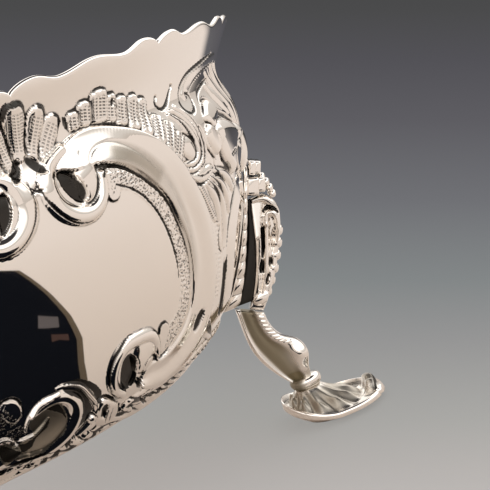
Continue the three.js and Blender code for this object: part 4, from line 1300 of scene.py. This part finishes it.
def makeWall(spec):
    # Both skins of one panel, a third of the bowl, then the slabs cut from it and turned
    turn = gridU / spec["unrollRadius"] - 0.5 * math.pi
    edge = lobeHeight((gridU / spec["unrollRadius"] * spec["motifCount"] / (2 * math.pi)) % 1.0)
    pull = np.clip(1 - gridS / spec["edgeReach"], 0, 1) ** 2
    half = 0.5 * spec["sheet"]
    down = gridS[:, None] + (half - spec["edgeFollow"] * edge)[None] * pull[:, None]
    turn = np.broadcast_to(turn, down.shape)
    outer = skinPoints(down, chasedHeight, 0)
    step = spec["innerStep"]
    soft = softened(chasedHeight, spec["innerSoftness"])
    inner = skinPoints(down[::step], spec["innerShare"] * soft[::step], spec["sheet"])
    outerNormals = gridNormals(turn, *outer)
    innerNormals = -gridNormals(turn[::step], *inner)
    # Dark mark: oxide where the sheet lies deeper than its surroundings, together with the painted shade that
    # the strokes laid
    sunk = (softened(chasedHeight, spec["oxideReach"]) - chasedHeight) / spec["oxideDepth"]
    oxide = np.maximum(np.clip(sunk, 0, 1), chasedShade)

    # Rim: a half round over the edge, from the outer skin to the inner
    rims = []
    for angle in spec["rimAngles"]:
        c, w = math.cos(math.radians(angle)), math.sin(math.radians(angle))
        middle = [(outer[k][0] + inner[k][0]) / 2 for k in (0, 1)]
        across = [(outer[k][0] - inner[k][0]) / 2 for k in (0, 1)]
        rims.append([middle[0] + c * across[0] - w * across[1], middle[1] + c * across[1] + w * across[0]])

    rows, columns = len(gridS), spec["gridAcross"] + 1
    innerRows = (rows - 1) // step + 1
    innerFirst = rows * columns
    rimFirst = innerFirst + innerRows * columns
    wide = spec["gridAcross"]

    # Faces of a slab: both skins, the rim, the foot, and the seams from rim to skins
    faces = [gridFaces(0, rows, columns, columns), gridFaces(innerFirst, innerRows, columns, columns, True),
             gridFaces(rimFirst, len(rims), columns, columns, True)]
    c = np.arange(wide)
    lastOuter, lastInner = (rows - 1) * columns, innerFirst + (innerRows - 1) * columns
    faces.append(np.stack([lastOuter + c, lastInner + c, lastInner + c + 1, lastOuter + c + 1], -1))
    faces.append(np.stack([c, c + 1, rimFirst + c + 1, rimFirst + c], -1))
    lastRim = rimFirst + (len(rims) - 1) * columns
    faces.append(np.stack([lastRim + c, lastRim + c + 1, innerFirst + c + 1, innerFirst + c], -1))

    # Its two side walls: each inner edge takes the outer points beside it, half to either end
    triangles = []
    for column, flip in ((0, False), (wide, True)):
        strip = []
        for k in range(innerRows - 1):
            a, b = innerFirst + k * columns + column, innerFirst + (k + 1) * columns + column
            o = (k * step + np.arange(step + 1)) * columns + column
            mid = step // 2
            strip += [(a, o[j], o[j + 1]) for j in range(mid)] + [(a, o[mid], b)]
            strip += [(b, o[j], o[j + 1]) for j in range(mid, step)]
        chain = [column] + [rimFirst + k * columns + column for k in range(len(rims))]
        strip += [(innerFirst + column, chain[k + 1], chain[k]) for k in range(len(chain) - 1)]
        strip = np.array(strip)
        triangles.append(strip[:, ::-1] if flip else strip)

    # The slab about a panel's middle, and those beside it up to the next panel
    made = []
    total = spec["slabs"] * wide
    for slab in range(spec["slabs"]):
        start = slab * wide
        pick = (start + np.arange(columns)) % total
        lap = (start + np.arange(columns)) // total * (2 * math.pi / chaseSpec["panels"])
        parts, normals = [], []
        for skin, normal, rowTurn in ((outer, outerNormals, turn), (inner, innerNormals, turn[::step])):
            angle = rowTurn[:, pick] + lap
            parts.append(np.stack([skin[0][:, pick] * np.cos(angle), skin[0][:, pick] * np.sin(angle),
                                   skin[1][:, pick]], -1).reshape(-1, 3))
            n = normal[:, pick]
            c, w = np.cos(lap), np.sin(lap)
            normals.append(np.stack([n[..., 0] * c - n[..., 1] * w, n[..., 0] * w + n[..., 1] * c,
                                     n[..., 2]], -1).reshape(-1, 3))
        angle = turn[0][pick] + lap
        outward = np.stack([np.cos(angle), np.sin(angle), 0 * angle], -1)
        for r, z in rims:
            parts.append(np.stack([r[pick] * np.cos(angle), r[pick] * np.sin(angle), z[pick]], -1))
        middle = [(outer[k][0][pick] + inner[k][0][pick]) / 2 for k in (0, 1)]
        for r, z in rims:
            n = outward * (r[pick] - middle[0])[:, None] + np.array([0, 0, 1.0]) * (z[pick] - middle[1])[:,
                                                                                                         None]
            normals.append(n / np.linalg.norm(n, axis=-1, keepdims=True))
        rest = np.zeros((innerRows + len(rims)) * columns)
        marks = {key: np.concatenate([sheet[:, pick].ravel(), rest])
                 for key, sheet in {"oxide": oxide, **chasedMarks}.items()}
        points, normals = np.concatenate(parts), np.concatenate(normals)
        for panel in range(chaseSpec["panels"]):
            spin = spun(panel * 2 * math.pi / chaseSpec["panels"])
            made.append(makeMesh("bowl_wall_%d" % (slab + 1 + spec["slabs"] * panel),
                                 points @ spin + (0, axisY, 0),
                                 np.concatenate(faces), np.concatenate(triangles), normals @ spin, marks))
    made.append(makeDish(spec))
    for thing in made:
        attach(thing, "root")
        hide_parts("bowl_body")
        thing.data.materials.append(raised)


def makeDish(spec):
    # The plain underside: rings from the axis out to the slabs' foot on the outside, and back in on the
    # inside
    count, rings = spec["baseColumns"], spec["baseRings"]
    turn = np.arange(count) * 2 * math.pi / count
    down = np.linspace(gridS[-1], cuspLength - spec["baseHole"], rings)
    points, normals = [], []
    for sign, depth, order in ((1, 0, down[::-1]), (-1, spec["sheet"], down)):
        radius, level, out, up = [values[:, None] for values in wallPlace(order)]
        r, z = radius - depth * out, level - depth * up
        points.append(np.stack([r * np.cos(turn), r * np.sin(turn) + axisY, z + 0 * turn], -1).reshape(-1, 3))
        n = np.stack([out * np.cos(turn), out * np.sin(turn), up + 0 * turn], -1)
        normals.append(sign * n.reshape(-1, 3))
    under = outline[0][1]
    points = np.concatenate(points + [[[0, axisY, under], [0, axisY, under + spec["sheet"]]]])
    normals = np.concatenate(normals + [[[0, 0, -1.0], [0, 0, 1.0]]])
    return makeMesh("bowl_dish", points, *ringFaces(2 * rings, count),
                    normals, {"oxide": np.zeros(len(points))})


makeWall(wallSpec)
print("wall built")


# Legs: finer bodies for the cast pieces, drawn in one leg's plane, r out from the bowl's axis and z up

legAngles = {"back": 90.0, "front_left": 210.0, "front_right": 330.0}


def wallRadiusAt(level):
    # Radius of the plain wall's outside at a height
    return np.interp(level, outline[:, 1], outline[:, 0])


def placeOnLegs(name, node, points, quads, triangles, oxide, brownTone=0.0):
    # Copies of one body, turned to each leg, in place of that leg's CAD node
    for side, angle in legAngles.items():
        thing = makeMesh("%s_fine_%s" % (name, side), points @ spun(math.radians(angle)) + (0, axisY, 0),
                         quads,
                         triangles, None, {"oxide": oxide, "brownTone": brownTone + 0 * oxide})
        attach(thing, "root")
        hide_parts("%s_%s" % (node, side))
        thing.data.materials.append(castAged)


def sampled(sheet, grid, r, z):
    # A sheet's value at places between its grid points, by weighting the four corners round each
    x = np.clip((r - sheet.u[0]) / (sheet.u[1] - sheet.u[0]), 0, len(sheet.u) - 1.001)
    y = np.clip((z - sheet.s[0]) / (sheet.s[1] - sheet.s[0]), 0, len(sheet.s) - 1.001)
    i, j = x.astype(int), y.astype(int)
    a, b = x - i, y - j
    return ((grid[j, i] * (1 - a) + grid[j, i + 1] * a) * (1 - b)
            + (grid[j + 1, i] * (1 - a) + grid[j + 1, i + 1] * a) * b)


def eased(count):
    # Shares from 0 to 1, closer together towards both ends
    return 0.5 - 0.5 * np.cos(np.linspace(0, math.pi, count))


def pillow(back, front, rows, columns, halfWidth, boxy, samples=400):
    # A body between two outlines, alike on both sides of the leg's plane. Its sides curve over to meet all
    # round: the half width, which comes with two marks, the dark of oxide and painted shade and the brown
    # tone, is multiplied by a root of 1 less a power of the place across
    along = eased(rows)
    rims = []
    for points in (back, front):
        line = splineThrough(points, samples)
        rims.append(np.stack([np.interp(along, np.linspace(0, 1, samples), line[:, k]) for k in (0, 1)], -1))
    v = eased(columns)[None, :, None]
    place = rims[0][:, None] * (1 - v) + rims[1][:, None] * v
    t = along[:, None] + 0 * v[..., 0]
    r, z = place[..., 0], place[..., 1]
    width, oxide, brown = halfWidth(r, z, t, v[..., 0] + 0 * t)
    close = np.clip(1 - np.abs(2 * v[..., 0] - 1) ** boxy, 0, 1) ** (1 / boxy)
    ends = np.clip(1 - np.abs(2 * t - 1) ** 60, 0, 1) ** 0.25
    width = np.maximum(width, 0.05) * close * ends
    inner = np.zeros(r.shape, bool)
    inner[1:-1, 1:-1] = True
    number = np.arange(r.size).reshape(r.shape)
    other = number.copy()
    other[inner] = r.size + np.arange(inner.sum())
    width[~inner] = 0
    points = np.concatenate([np.stack([r, -width, z], -1).reshape(-1, 3),
                             np.stack([r, width, z], -1)[inner]])
    near = np.stack([number[:-1, :-1], number[1:, :-1], number[1:, 1:], number[:-1, 1:]], -1).reshape(-1, 4)
    far = np.stack([other[:-1, :-1], other[:-1, 1:], other[1:, 1:], other[1:, :-1]], -1).reshape(-1, 4)
    marks = [np.concatenate([mark.ravel(), mark[inner]]) for mark in (oxide, brown)]
    return points, np.concatenate([near, far]), [], *marks


def roundedBlock(centre, half, tilt, power, across, count):
    # A ball whose coordinates are raised to a power: small powers square it off
    turn = np.linspace(0, 2 * math.pi, count[0], endpoint=False)
    lift = np.linspace(-0.5 * math.pi, 0.5 * math.pi, count[1] + 1)[1:-1]
    a, b = np.meshgrid(turn, lift)
    ball = np.stack([np.cos(b) * np.cos(a), np.cos(b) * np.sin(a), np.sin(b)], -1).reshape(-1, 3)
    ball = np.concatenate([ball, [[0, 0, -1], [0, 0, 1]]])
    ball = np.sign(ball) * np.abs(ball) ** power
    c, w = math.cos(math.radians(tilt)), math.sin(math.radians(tilt))
    x, y, z = ball[:, 0] * half[0], ball[:, 1] * half[1], ball[:, 2] * half[2]
    points = np.stack([centre[0] + x * c + z * w, across + y, centre[1] + z * c - x * w], -1)
    return points, *ringFaces(len(lift), count[0])


def gathered(bodies):
    # Several closed bodies as one set of arrays
    points, quads, triangles, first = [], [], [], 0
    for body in bodies:
        points.append(body[0])
        quads.append(body[1] + first)
        triangles.append(body[2] + first)
        first += len(body[0])
    return np.concatenate(points), np.concatenate(quads), np.concatenate(triangles)


# Knee scroll: a hooked arch with slits through it, beads down its front, and stepped blocks over it

kneeSpec = {
    "back": [(58.3, 40.7), (57.7, 38.7), (57.1, 36.2), (56.4, 33.3), (55.3, 29.9), (54.1, 27), (53, 24.8),
             (51.7, 22.5)],
    "front": [(60.6, 40.8), (61.8, 39.6), (62.4, 38), (62.2, 36.3), (61.5, 34.2), (60.2, 31.2), (58.6, 28),
              (57, 25.4), (55.3, 23.2), (53.9, 21.5)],
    "core": 1.35,             # half thickness where nothing stands proud
    "grid": (170, 44),
    "beads": [(60.95, 33.9, 1.0), (60.1, 31.9, 1.0), (59.2, 29.9, 0.95), (58.1, 27.9, 0.95),
              (56.9, 26.1, 0.9), (55.7, 24.4, 0.85)],
    "blocks": [((60.35, 45.7), (0.66, 3.5, 1.3), 22), ((61.25, 45.45), (0.6, 3.1, 1.15), 22),
               ((59.35, 42.8), (1.2, 4.2, 1.65), 18), ((60.85, 42.6), (0.75, 3.9, 1.35), 18)],
    "pearls": [(61.6, 43.6, 0.62), (62.0, 42.5, 0.64), (62.25, 41.35, 0.64), (62.4, 40.2, 0.62)],
    "web": [(57.5, 40.6), (56.2, 36.4), (54.7, 32.6), (53.0, 29), (51.4, 26.2), (49.9, 23.6)],
    "webReach": 3.4,
    "webHalf": 0.35,
    "webGrid": (40, 8),
    "rises": (-1.2, 1.1),     # how far the relief may go under and over the core
    "beadShape": (1.5, 1.05, 25, 0.8),      # width and height over depth, tilt, power
    "blockPower": 0.28,
    "pearlsAside": (-1.5, 0, 1.5),
    "pearlBack": 0.12,        # how far the outer pearls stand back, for each mm aside
    "rounds": {"beads": (24, 16), "blocks": (36, 26), "pearls": (14, 10)},      # points round, and rings
}


def kneeRelief():
    # The scroll's side face as strokes on a sheet, r across and z up, in millimetres
    sheet = ChasedSheet(np.arange(44, 70, 0.08), np.arange(18, 50, 0.08))

    def middle(z):
        # Distance outwards of the back facet's middle line at a height
        return np.interp(z, [24.6, 28, 31.6, 35.2], [53.7, 55.4, 56.6, 57.5])

    # A facet under the top leans back so that it catches the light, and one down the back leans to the wall
    sheet.facet([(56.2, 33.8), (57, 38), (58, 41), (60.6, 40.6), (59.4, 38), (57.7, 34)],
                lambda r, z: 1.1 - 0.13 * (z - 34.2))
    sheet.ridge([(58.6, 40.4), (60.5, 40), (61.6, 38.6), (61.8, 36.9), (61.4, 35.2)],
                0.75, 0.85, ends=(0.8, 0.7),
                power=0.6, mode="max")
    sheet.facet([(53.0, 24.6), (54.6, 28), (55.9, 31.6), (56.8, 35.2), (58.1, 35.2), (57.3, 32.2),
                 (56.2, 29.6), (55.2, 27.2), (54.2, 24.8)], lambda r, z: 0.78 + 0.32 * (r - middle(z)))
    sheet.ridge([(60.2, 37.4), (59.3, 35), (58.1, 31.8), (57, 28.9), (55.9, 26.6), (54.8, 24.8)], 0.5, 0.95,
                ends=(0.8, 0.6), power=0.6, mode="max")
    sheet.ridge([(59.6, 36.4), (60.1, 37.3), (61, 37.3), (61.5, 36.2), (61.2, 34.4), (60.2, 32.2)], 0.6, 1.0,
                ends=(0.8, 0.4), power=0.6, mode="max")
    sheet.dome((59.5, 35.7), (0.6, 0.9), 1.0, power=0.5)
    sheet.dome((54.2, 23.8), (1.6, 1.2), 0.7, power=0.5)
    # The slits and ovals are darkened with painted shade
    sheet.groove([(59.7, 37.9), (60.6, 38.4), (61.5, 38), (62, 36.9)], 0.34, 0.8, ends=(0.6, 0.5), paintedShade=0.9)
    sheet.groove([(58.6, 35.2), (57.8, 32.8), (56.9, 30.5)], 0.36, 1.2, ends=(0.7, 0.5), paintedShade=1.0)
    sheet.groove([(56.5, 29.9), (55.6, 28.1)], 0.34, 1.1, ends=(0.6, 0.6), paintedShade=0.9)
    sheet.groove([(60.3, 34.4), (59.6, 32.4), (58.8, 30.6)], 0.4, 0.5, ends=(0.4, 0.4), paintedShade=0.35)
    sheet.dome((57.9, 29.0), (0.4, 1.1), -0.8, turn=-24, mode="add", paintedShade=0.8)
    sheet.dome((56.4, 26.5), (0.42, 1.1), -0.8, turn=-30, mode="add", paintedShade=0.8)
    return sheet


def makeKnees(spec):
    # The arch with its relief, a web behind it, and beads, blocks and pearls as rounded blocks
    sheet = kneeRelief()
    core, rounds = spec["core"], spec["rounds"]

    def archHalf(r, z, t, v):
        # The core and the relief on it, limited, with the painted shade of its slits and ovals as the dark
        # mark
        rise = np.clip(sampled(sheet, sheet.height, r, z), *spec["rises"])
        return core + rise, sampled(sheet, sheet.paintedShade, r, z), 0 * r

    def webHalf(r, z, t, v):
        # Even thickness, black all over: painted shade that closes the gap between the arch and the backing
        return spec["webHalf"] + 0 * r, 1 + 0 * r, 0 * r

    placeOnLegs("knee_arch", "knee_scroll", *pillow(spec["back"], spec["front"], *spec["grid"],
                                                    archHalf, 12.0))
    webFront = [(r + spec["webReach"], z) for r, z in spec["web"]]
    placeOnLegs("knee_web", "knee_scroll", *pillow(spec["web"], webFront, *spec["webGrid"], webHalf, 5.0))

    bodies = []
    wide, tall, tilt, power = spec["beadShape"]
    for r, z, size in spec["beads"]:
        bodies.append(roundedBlock((r, z), (size, wide * size, tall * size), tilt, power, 0, rounds["beads"]))
    for centre, half, tilt in spec["blocks"]:
        bodies.append(roundedBlock(centre, half, tilt, spec["blockPower"], 0, rounds["blocks"]))
    for r, z, size in spec["pearls"]:
        for aside in spec["pearlsAside"]:
            centre = (r - spec["pearlBack"] * abs(aside), z)
            bodies.append(roundedBlock(centre, (size, size, size), 0, 1.0, aside, rounds["pearls"]))
    points, quads, triangles = gathered(bodies)
    placeOnLegs("knee_beads", "knee_scroll", points, quads, triangles, np.zeros(len(points)))


# Knee backing: a curved plate with a rocaille edge of lumps, each with painted shade in the dip beside it

backingSpec = {
    "levels": (23.75, 46.6),
    "thickness": (0.8, 3.3),
    "halfWidth": 5.2,
    "lumps": 9,
    "lumpOut": (0.38, 0.12),  # how far a lump stands out aside and outwards
    "gap": 0.3,               # off the plain wall
    "dipShadeWidth": 0.22,         # height of the wave under which the painted shade lies
    "dark": 0.8,
    "rows": 120,
    "columns": 20,
}


def makeBackings(spec):
    # Rings from the top down, each a flattened oval on the wall. Its half width tapers by a square and
    # waves by the lumps; its thickness grows by a cube
    low, high = spec["levels"]
    share = np.linspace(0, 1, spec["rows"])[:, None]
    level = high + (low - high) * share
    taper = np.minimum(1, 0.62 + 2.2 * share) * (1 - 0.38 * share ** 2)
    wave = np.abs(np.sin(math.pi * spec["lumps"] * share))
    ends = np.clip(1 - np.abs(2 * share - 1) ** 40, 0, 1) ** 0.5
    aside, outwards = spec["lumpOut"]
    half = (spec["halfWidth"] * taper - 0.05 + aside * wave ** 0.8) * (0.35 + 0.65 * ends)
    thin, stout = spec["thickness"]
    thick = (thin + (stout - thin) * share ** 3) * (0.3 + 0.7 * ends)
    turn = np.linspace(0, 2 * math.pi, 2 * spec["columns"], endpoint=False)[None]
    c, w = np.cos(turn), np.sin(turn)
    across = np.sign(c) * np.abs(c) ** 0.5 * half
    lump = outwards * wave * np.clip(np.abs(across) / half, 0, 1) ** 4
    out = (0.5 + 0.5 * np.sign(w) * np.abs(w) ** 0.35) * (thick + lump)
    radius = wallRadiusAt(level) + spec["gap"] + out
    x = np.sqrt(radius ** 2 - across ** 2)
    points = np.stack([x, across + 0 * x, level + 0 * x], -1).reshape(-1, 3)
    # Painted shade: dark in the dips between the lumps, and over the middle of the outer face
    plateShade = np.clip(1 - wave / spec["dipShadeWidth"], 0, 1) * np.clip((np.abs(across) / half - 0.6) / 0.3, 0, 1)
    plateShade = spec["dark"] * np.maximum(plateShade, np.clip(w, 0, 1) * (np.abs(across) < 0.75 * half))
    count = turn.size
    middles = points.reshape(spec["rows"], count, 3)[[0, -1]].mean(1)
    points = np.concatenate([points, middles])
    placeOnLegs("knee_plate", "knee_backing", points, *ringFaces(spec["rows"], count, True),
                np.append(plateShade.ravel(), [0, 0]))


# Leg: an S-curve with a thin ridge down its back, a hollowed side, a beaded ridge in front, and a curl low
# down

legSpec = {
    "back": [(49.3, 23.3), (49.25, 18.7), (49.7, 14.8), (51.1, 11.5), (52.8, 9), (54.4, 7.1)],
    "front": [(53.9, 21.1), (54.1, 18.9), (54.8, 17), (55.9, 15.7), (57.3, 14.8), (58.4, 13.5), (58.8, 11.8),
              (58.2, 9.9), (57.9, 7.3)],
    "halfWidths": (2.35, 1.65),          # at the top and at the ankle
    "widest": 2.6,
    # Each with its rise, its place and its spread, as shares of the way from back to front
    "backRidge": (0.30, 0.07, 0.06),
    "bulge": (0.12, 0.38, 0.2),
    "frontRidge": (0.36, 0.46, 0.82),    # rise, and where it starts and is full
    "beads": (19, 0.07, 0.42, 0.55),     # count, rise, and the shares of the length over which they die away
    "curl": (57.9, 12.1, 2.1, 0.9),      # its middle, how far it spreads, and how much fuller it is
    "grid": (110, 34),
    "collar": (56.6, 6.85, 2.45, 1.0),   # its middle, radius and half height
    "collarRound": (0.55, 0.95),         # how far its ends lie inside the radius, and how far it swells
    "collarGrid": (56, 13),
}


def makeLegs(spec):
    # The leg's half width is its plain one times the sum of its ridges, and a bell for the curl
    curlR, curlZ, spread, fuller = spec["curl"]
    top, ankle = spec["halfWidths"]
    beadCount, beadRise, beadsFrom, beadsTo = spec["beads"]
    ridgeRise, ridgeFrom, ridgeFull = spec["frontRidge"]

    def bell(v, rise, place, width):
        # Rise times e to the minus square of the distance from the place over the width
        return rise * np.exp(-((v - place) / width) ** 2)

    def legHalf(r, z, t, v):
        # Half width, the dark mark and the brown tone, by the place along the leg, t, and across it, v
        plain = top + (ankle - top) * t
        beads = beadRise * (0.5 + 0.5 * np.cos(2 * math.pi * beadCount * t)) * (1 - smoothStep(t, beadsFrom,
                                                                                               beadsTo))
        frontRidge = (ridgeRise + beads) * smoothStep(v, ridgeFrom, ridgeFull)
        curl = fuller * np.exp(-((r - curlR) ** 2 + (z - curlZ) ** 2) / spread ** 2) * smoothStep(v, 0.2, 0.6)
        width = plain * (0.50 + bell(v, *spec["backRidge"]) + frontRidge + bell(v, *spec["bulge"])) + curl
        # Painted shade and reflection: the hollow side is brown and darkens lower down, the curl is left
        # bright, and the ankle end is brown
        hollow = smoothStep(v, 0.12, 0.2) * (1 - smoothStep(v, 0.6, 0.74)) * (1 - 0.3 * smoothStep(t, 0.86,
                                                                                                   0.96))
        foot = smoothStep(t, 0.84, 0.93) * smoothStep(v, 0.1, 0.2)
        brown = np.clip(0.92 * hollow * (1 - np.clip(curl / 0.6, 0, 1)) + 0.5 * foot, 0, 1)
        return np.minimum(width, spec["widest"]), 0.3 * hollow * smoothStep(t, 0.5, 0.9), brown

    placeOnLegs("leg_scroll", "leg", *pillow(spec["back"], spec["front"], *spec["grid"], legHalf, 5.0))

    # The collar: a ring turned about an upright line
    r, z, radius, half = spec["collar"]
    inset, swell = spec["collarRound"]
    count, steps = spec["collarGrid"]
    sweep = np.linspace(-0.5 * math.pi, 0.5 * math.pi, steps)
    reach = radius - inset + swell * np.cos(sweep) ** 0.8
    rise = z + half * np.sin(sweep)
    turn = np.linspace(0, 2 * math.pi, count, endpoint=False)
    points = np.stack([r + reach[:, None] * np.cos(turn), reach[:, None] * np.sin(turn),
                       np.broadcast_to(rise[:, None], (steps, count))], -1).reshape(-1, 3)
    points = np.concatenate([points, [[r, 0, z - half], [r, 0, z + half]]])
    # Painted shade: the collar's half towards the bowl is brown
    shade = np.append(np.tile(0.85 * (1 - smoothStep(np.cos(turn), -0.5, 0.1)), steps), [0, 0])
    placeOnLegs("leg_collar", "leg", points, *ringFaces(steps, count), np.zeros(len(points)), shade)


# Shell foot: a fan of ribs from the collar's seat, a smooth hollow round it, and a rim band with a notch

shellSpec = {
    "heel": 51.2,
    "tip": 69.4,
    "halfWidth": 9.1,
    "seat": (56.6, 2.3, 5.8),         # centre, radius and height of the seat under the collar
    "ribs": 11,
    "rim": (1.05, 0.95),              # height of its lower edge, and how tall it is
    "heelLift": 2.4,
    "floor": 1.25,
    "knobs": (0.45, 0.15, 0.8),       # place outwards, spread and height of the ribs' ends
    "lump": (0.80, 0.42, 2.5),        # place outwards, half angle and height
    "under": [(0.94, 0.78), (0.80, 0.42), (0.7, 0.2), (0.62, 0.0)],
    # reach, and share of the rim's height
    "ribRise": 0.22,
    "notch": (0.5, 0.05),             # angle of the dents beside the lump, and how deep and wide they are
    "grid": (184, 36),
}


def makeFeet(spec):
    # Rings from the seat out to the edge, each an oval, with the heights given by the share of the way out:
    # a fan that falls by a power, ribs as a cosine of the angle, bells for the ribs' ends and the lump, and
    # a round lip
    count, rows = spec["grid"]
    turn = np.linspace(0, 2 * math.pi, count, endpoint=False)[None]
    share = np.linspace(0, 1, rows)[:, None]
    c, w = np.cos(turn), np.sin(turn)
    centre, radius, top = spec["seat"]
    middle = 0.5 * (spec["heel"] + spec["tip"])
    aside = np.minimum(turn, 2 * math.pi - turn)
    place, deep = spec["notch"]
    notch = 1 - deep * np.exp(-((aside - place) / deep) ** 2)
    edgeX = middle + 0.5 * (spec["tip"] - spec["heel"]) * np.sign(c) * np.abs(c) ** 0.92 * notch
    edgeY = spec["halfWidth"] * np.sign(w) * np.abs(w) ** 0.94 * notch
    x = (centre + radius * c) * (1 - share) + edgeX * share
    y = radius * w * (1 - share) + edgeY * share
    heel = spec["heelLift"] * np.clip(-c, 0, 1) ** 1.4
    rib = np.cos(spec["ribs"] * turn)
    place, spread, rise = spec["knobs"]
    fan = np.clip(1 - share / (place + 1.2 * spread), 0, 1)
    knob = np.exp(-((share - place) / spread) ** 2)
    height = spec["floor"] + heel + (top - spec["floor"] - heel) * fan ** 1.25
    height = height + rise * (0.6 + 0.4 * rib) * knob + spec["ribRise"] * rib * np.clip(5 * share, 0,
                                                                                        1) * fan ** 0.3
    place, half, rise = spec["lump"]
    lump = np.exp(-((share - place) / 0.12) ** 4) * np.exp(-(aside / half) ** 4)
    height = height + lump * (rise + 0.3 * np.cos(22 * turn))
    band = smoothStep(share, 0.88, 0.92)
    edge, tall = spec["rim"]
    lip = edge + heel + (tall + 0.25 * heel) * np.sqrt(1 - np.clip((share - 0.93) / 0.07, 0, 1) ** 2)
    height = height * (1 - band) + band * np.maximum(lip, height * (lump > 0.4) * (share < 0.96))
    height = np.where(share < 0.02, top, np.minimum(height, top))
    rings = list(np.stack([x, y, height], -1))
    for reach, level in spec["under"]:
        rings.append(np.stack([middle + (edgeX - middle) * reach, edgeY * reach, level * (edge + heel)],
                              -1)[0])
    points = np.concatenate(rings + [[[centre, 0, top], [middle, 0, 0]]])
    # Dark: oxide in the valleys between the ribs and along the rim band's inner foot, and painted shade on
    # the lump at the tip
    valley = np.clip(-rib, 0, 1) ** 3 * fan ** 0.4 * np.clip(5 * share, 0, 1) * 0.5
    groove = np.exp(-((share - 0.885) / 0.02) ** 2) * 0.7
    rest = np.zeros((len(rings) - rows) * count + 2)
    oxide = np.concatenate([np.clip(valley + groove + 0.45 * lump, 0, 1).ravel(), rest])
    # Brown tone over the shell's floor, most from the seat to the knobs and on the lump, none on the rim band
    warm = np.clip(0.6 * smoothStep(share, 0.02, 0.1) * (1 - smoothStep(share, 0.55, 0.66)) + 0.6 * lump,
                   0.35, 1)
    warm = warm * (1 - smoothStep(share, 0.88, 0.91) * (1 - lump))
    brown = np.concatenate([(warm + 0 * turn).ravel(), rest])
    placeOnLegs("shell", "shell_foot", points, *ringFaces(len(rings), count, True), oxide, brown)


makeKnees(kneeSpec)
makeBackings(backingSpec)
makeLegs(legSpec)
makeFeet(shellSpec)
print("legs built")


print("scene ready")
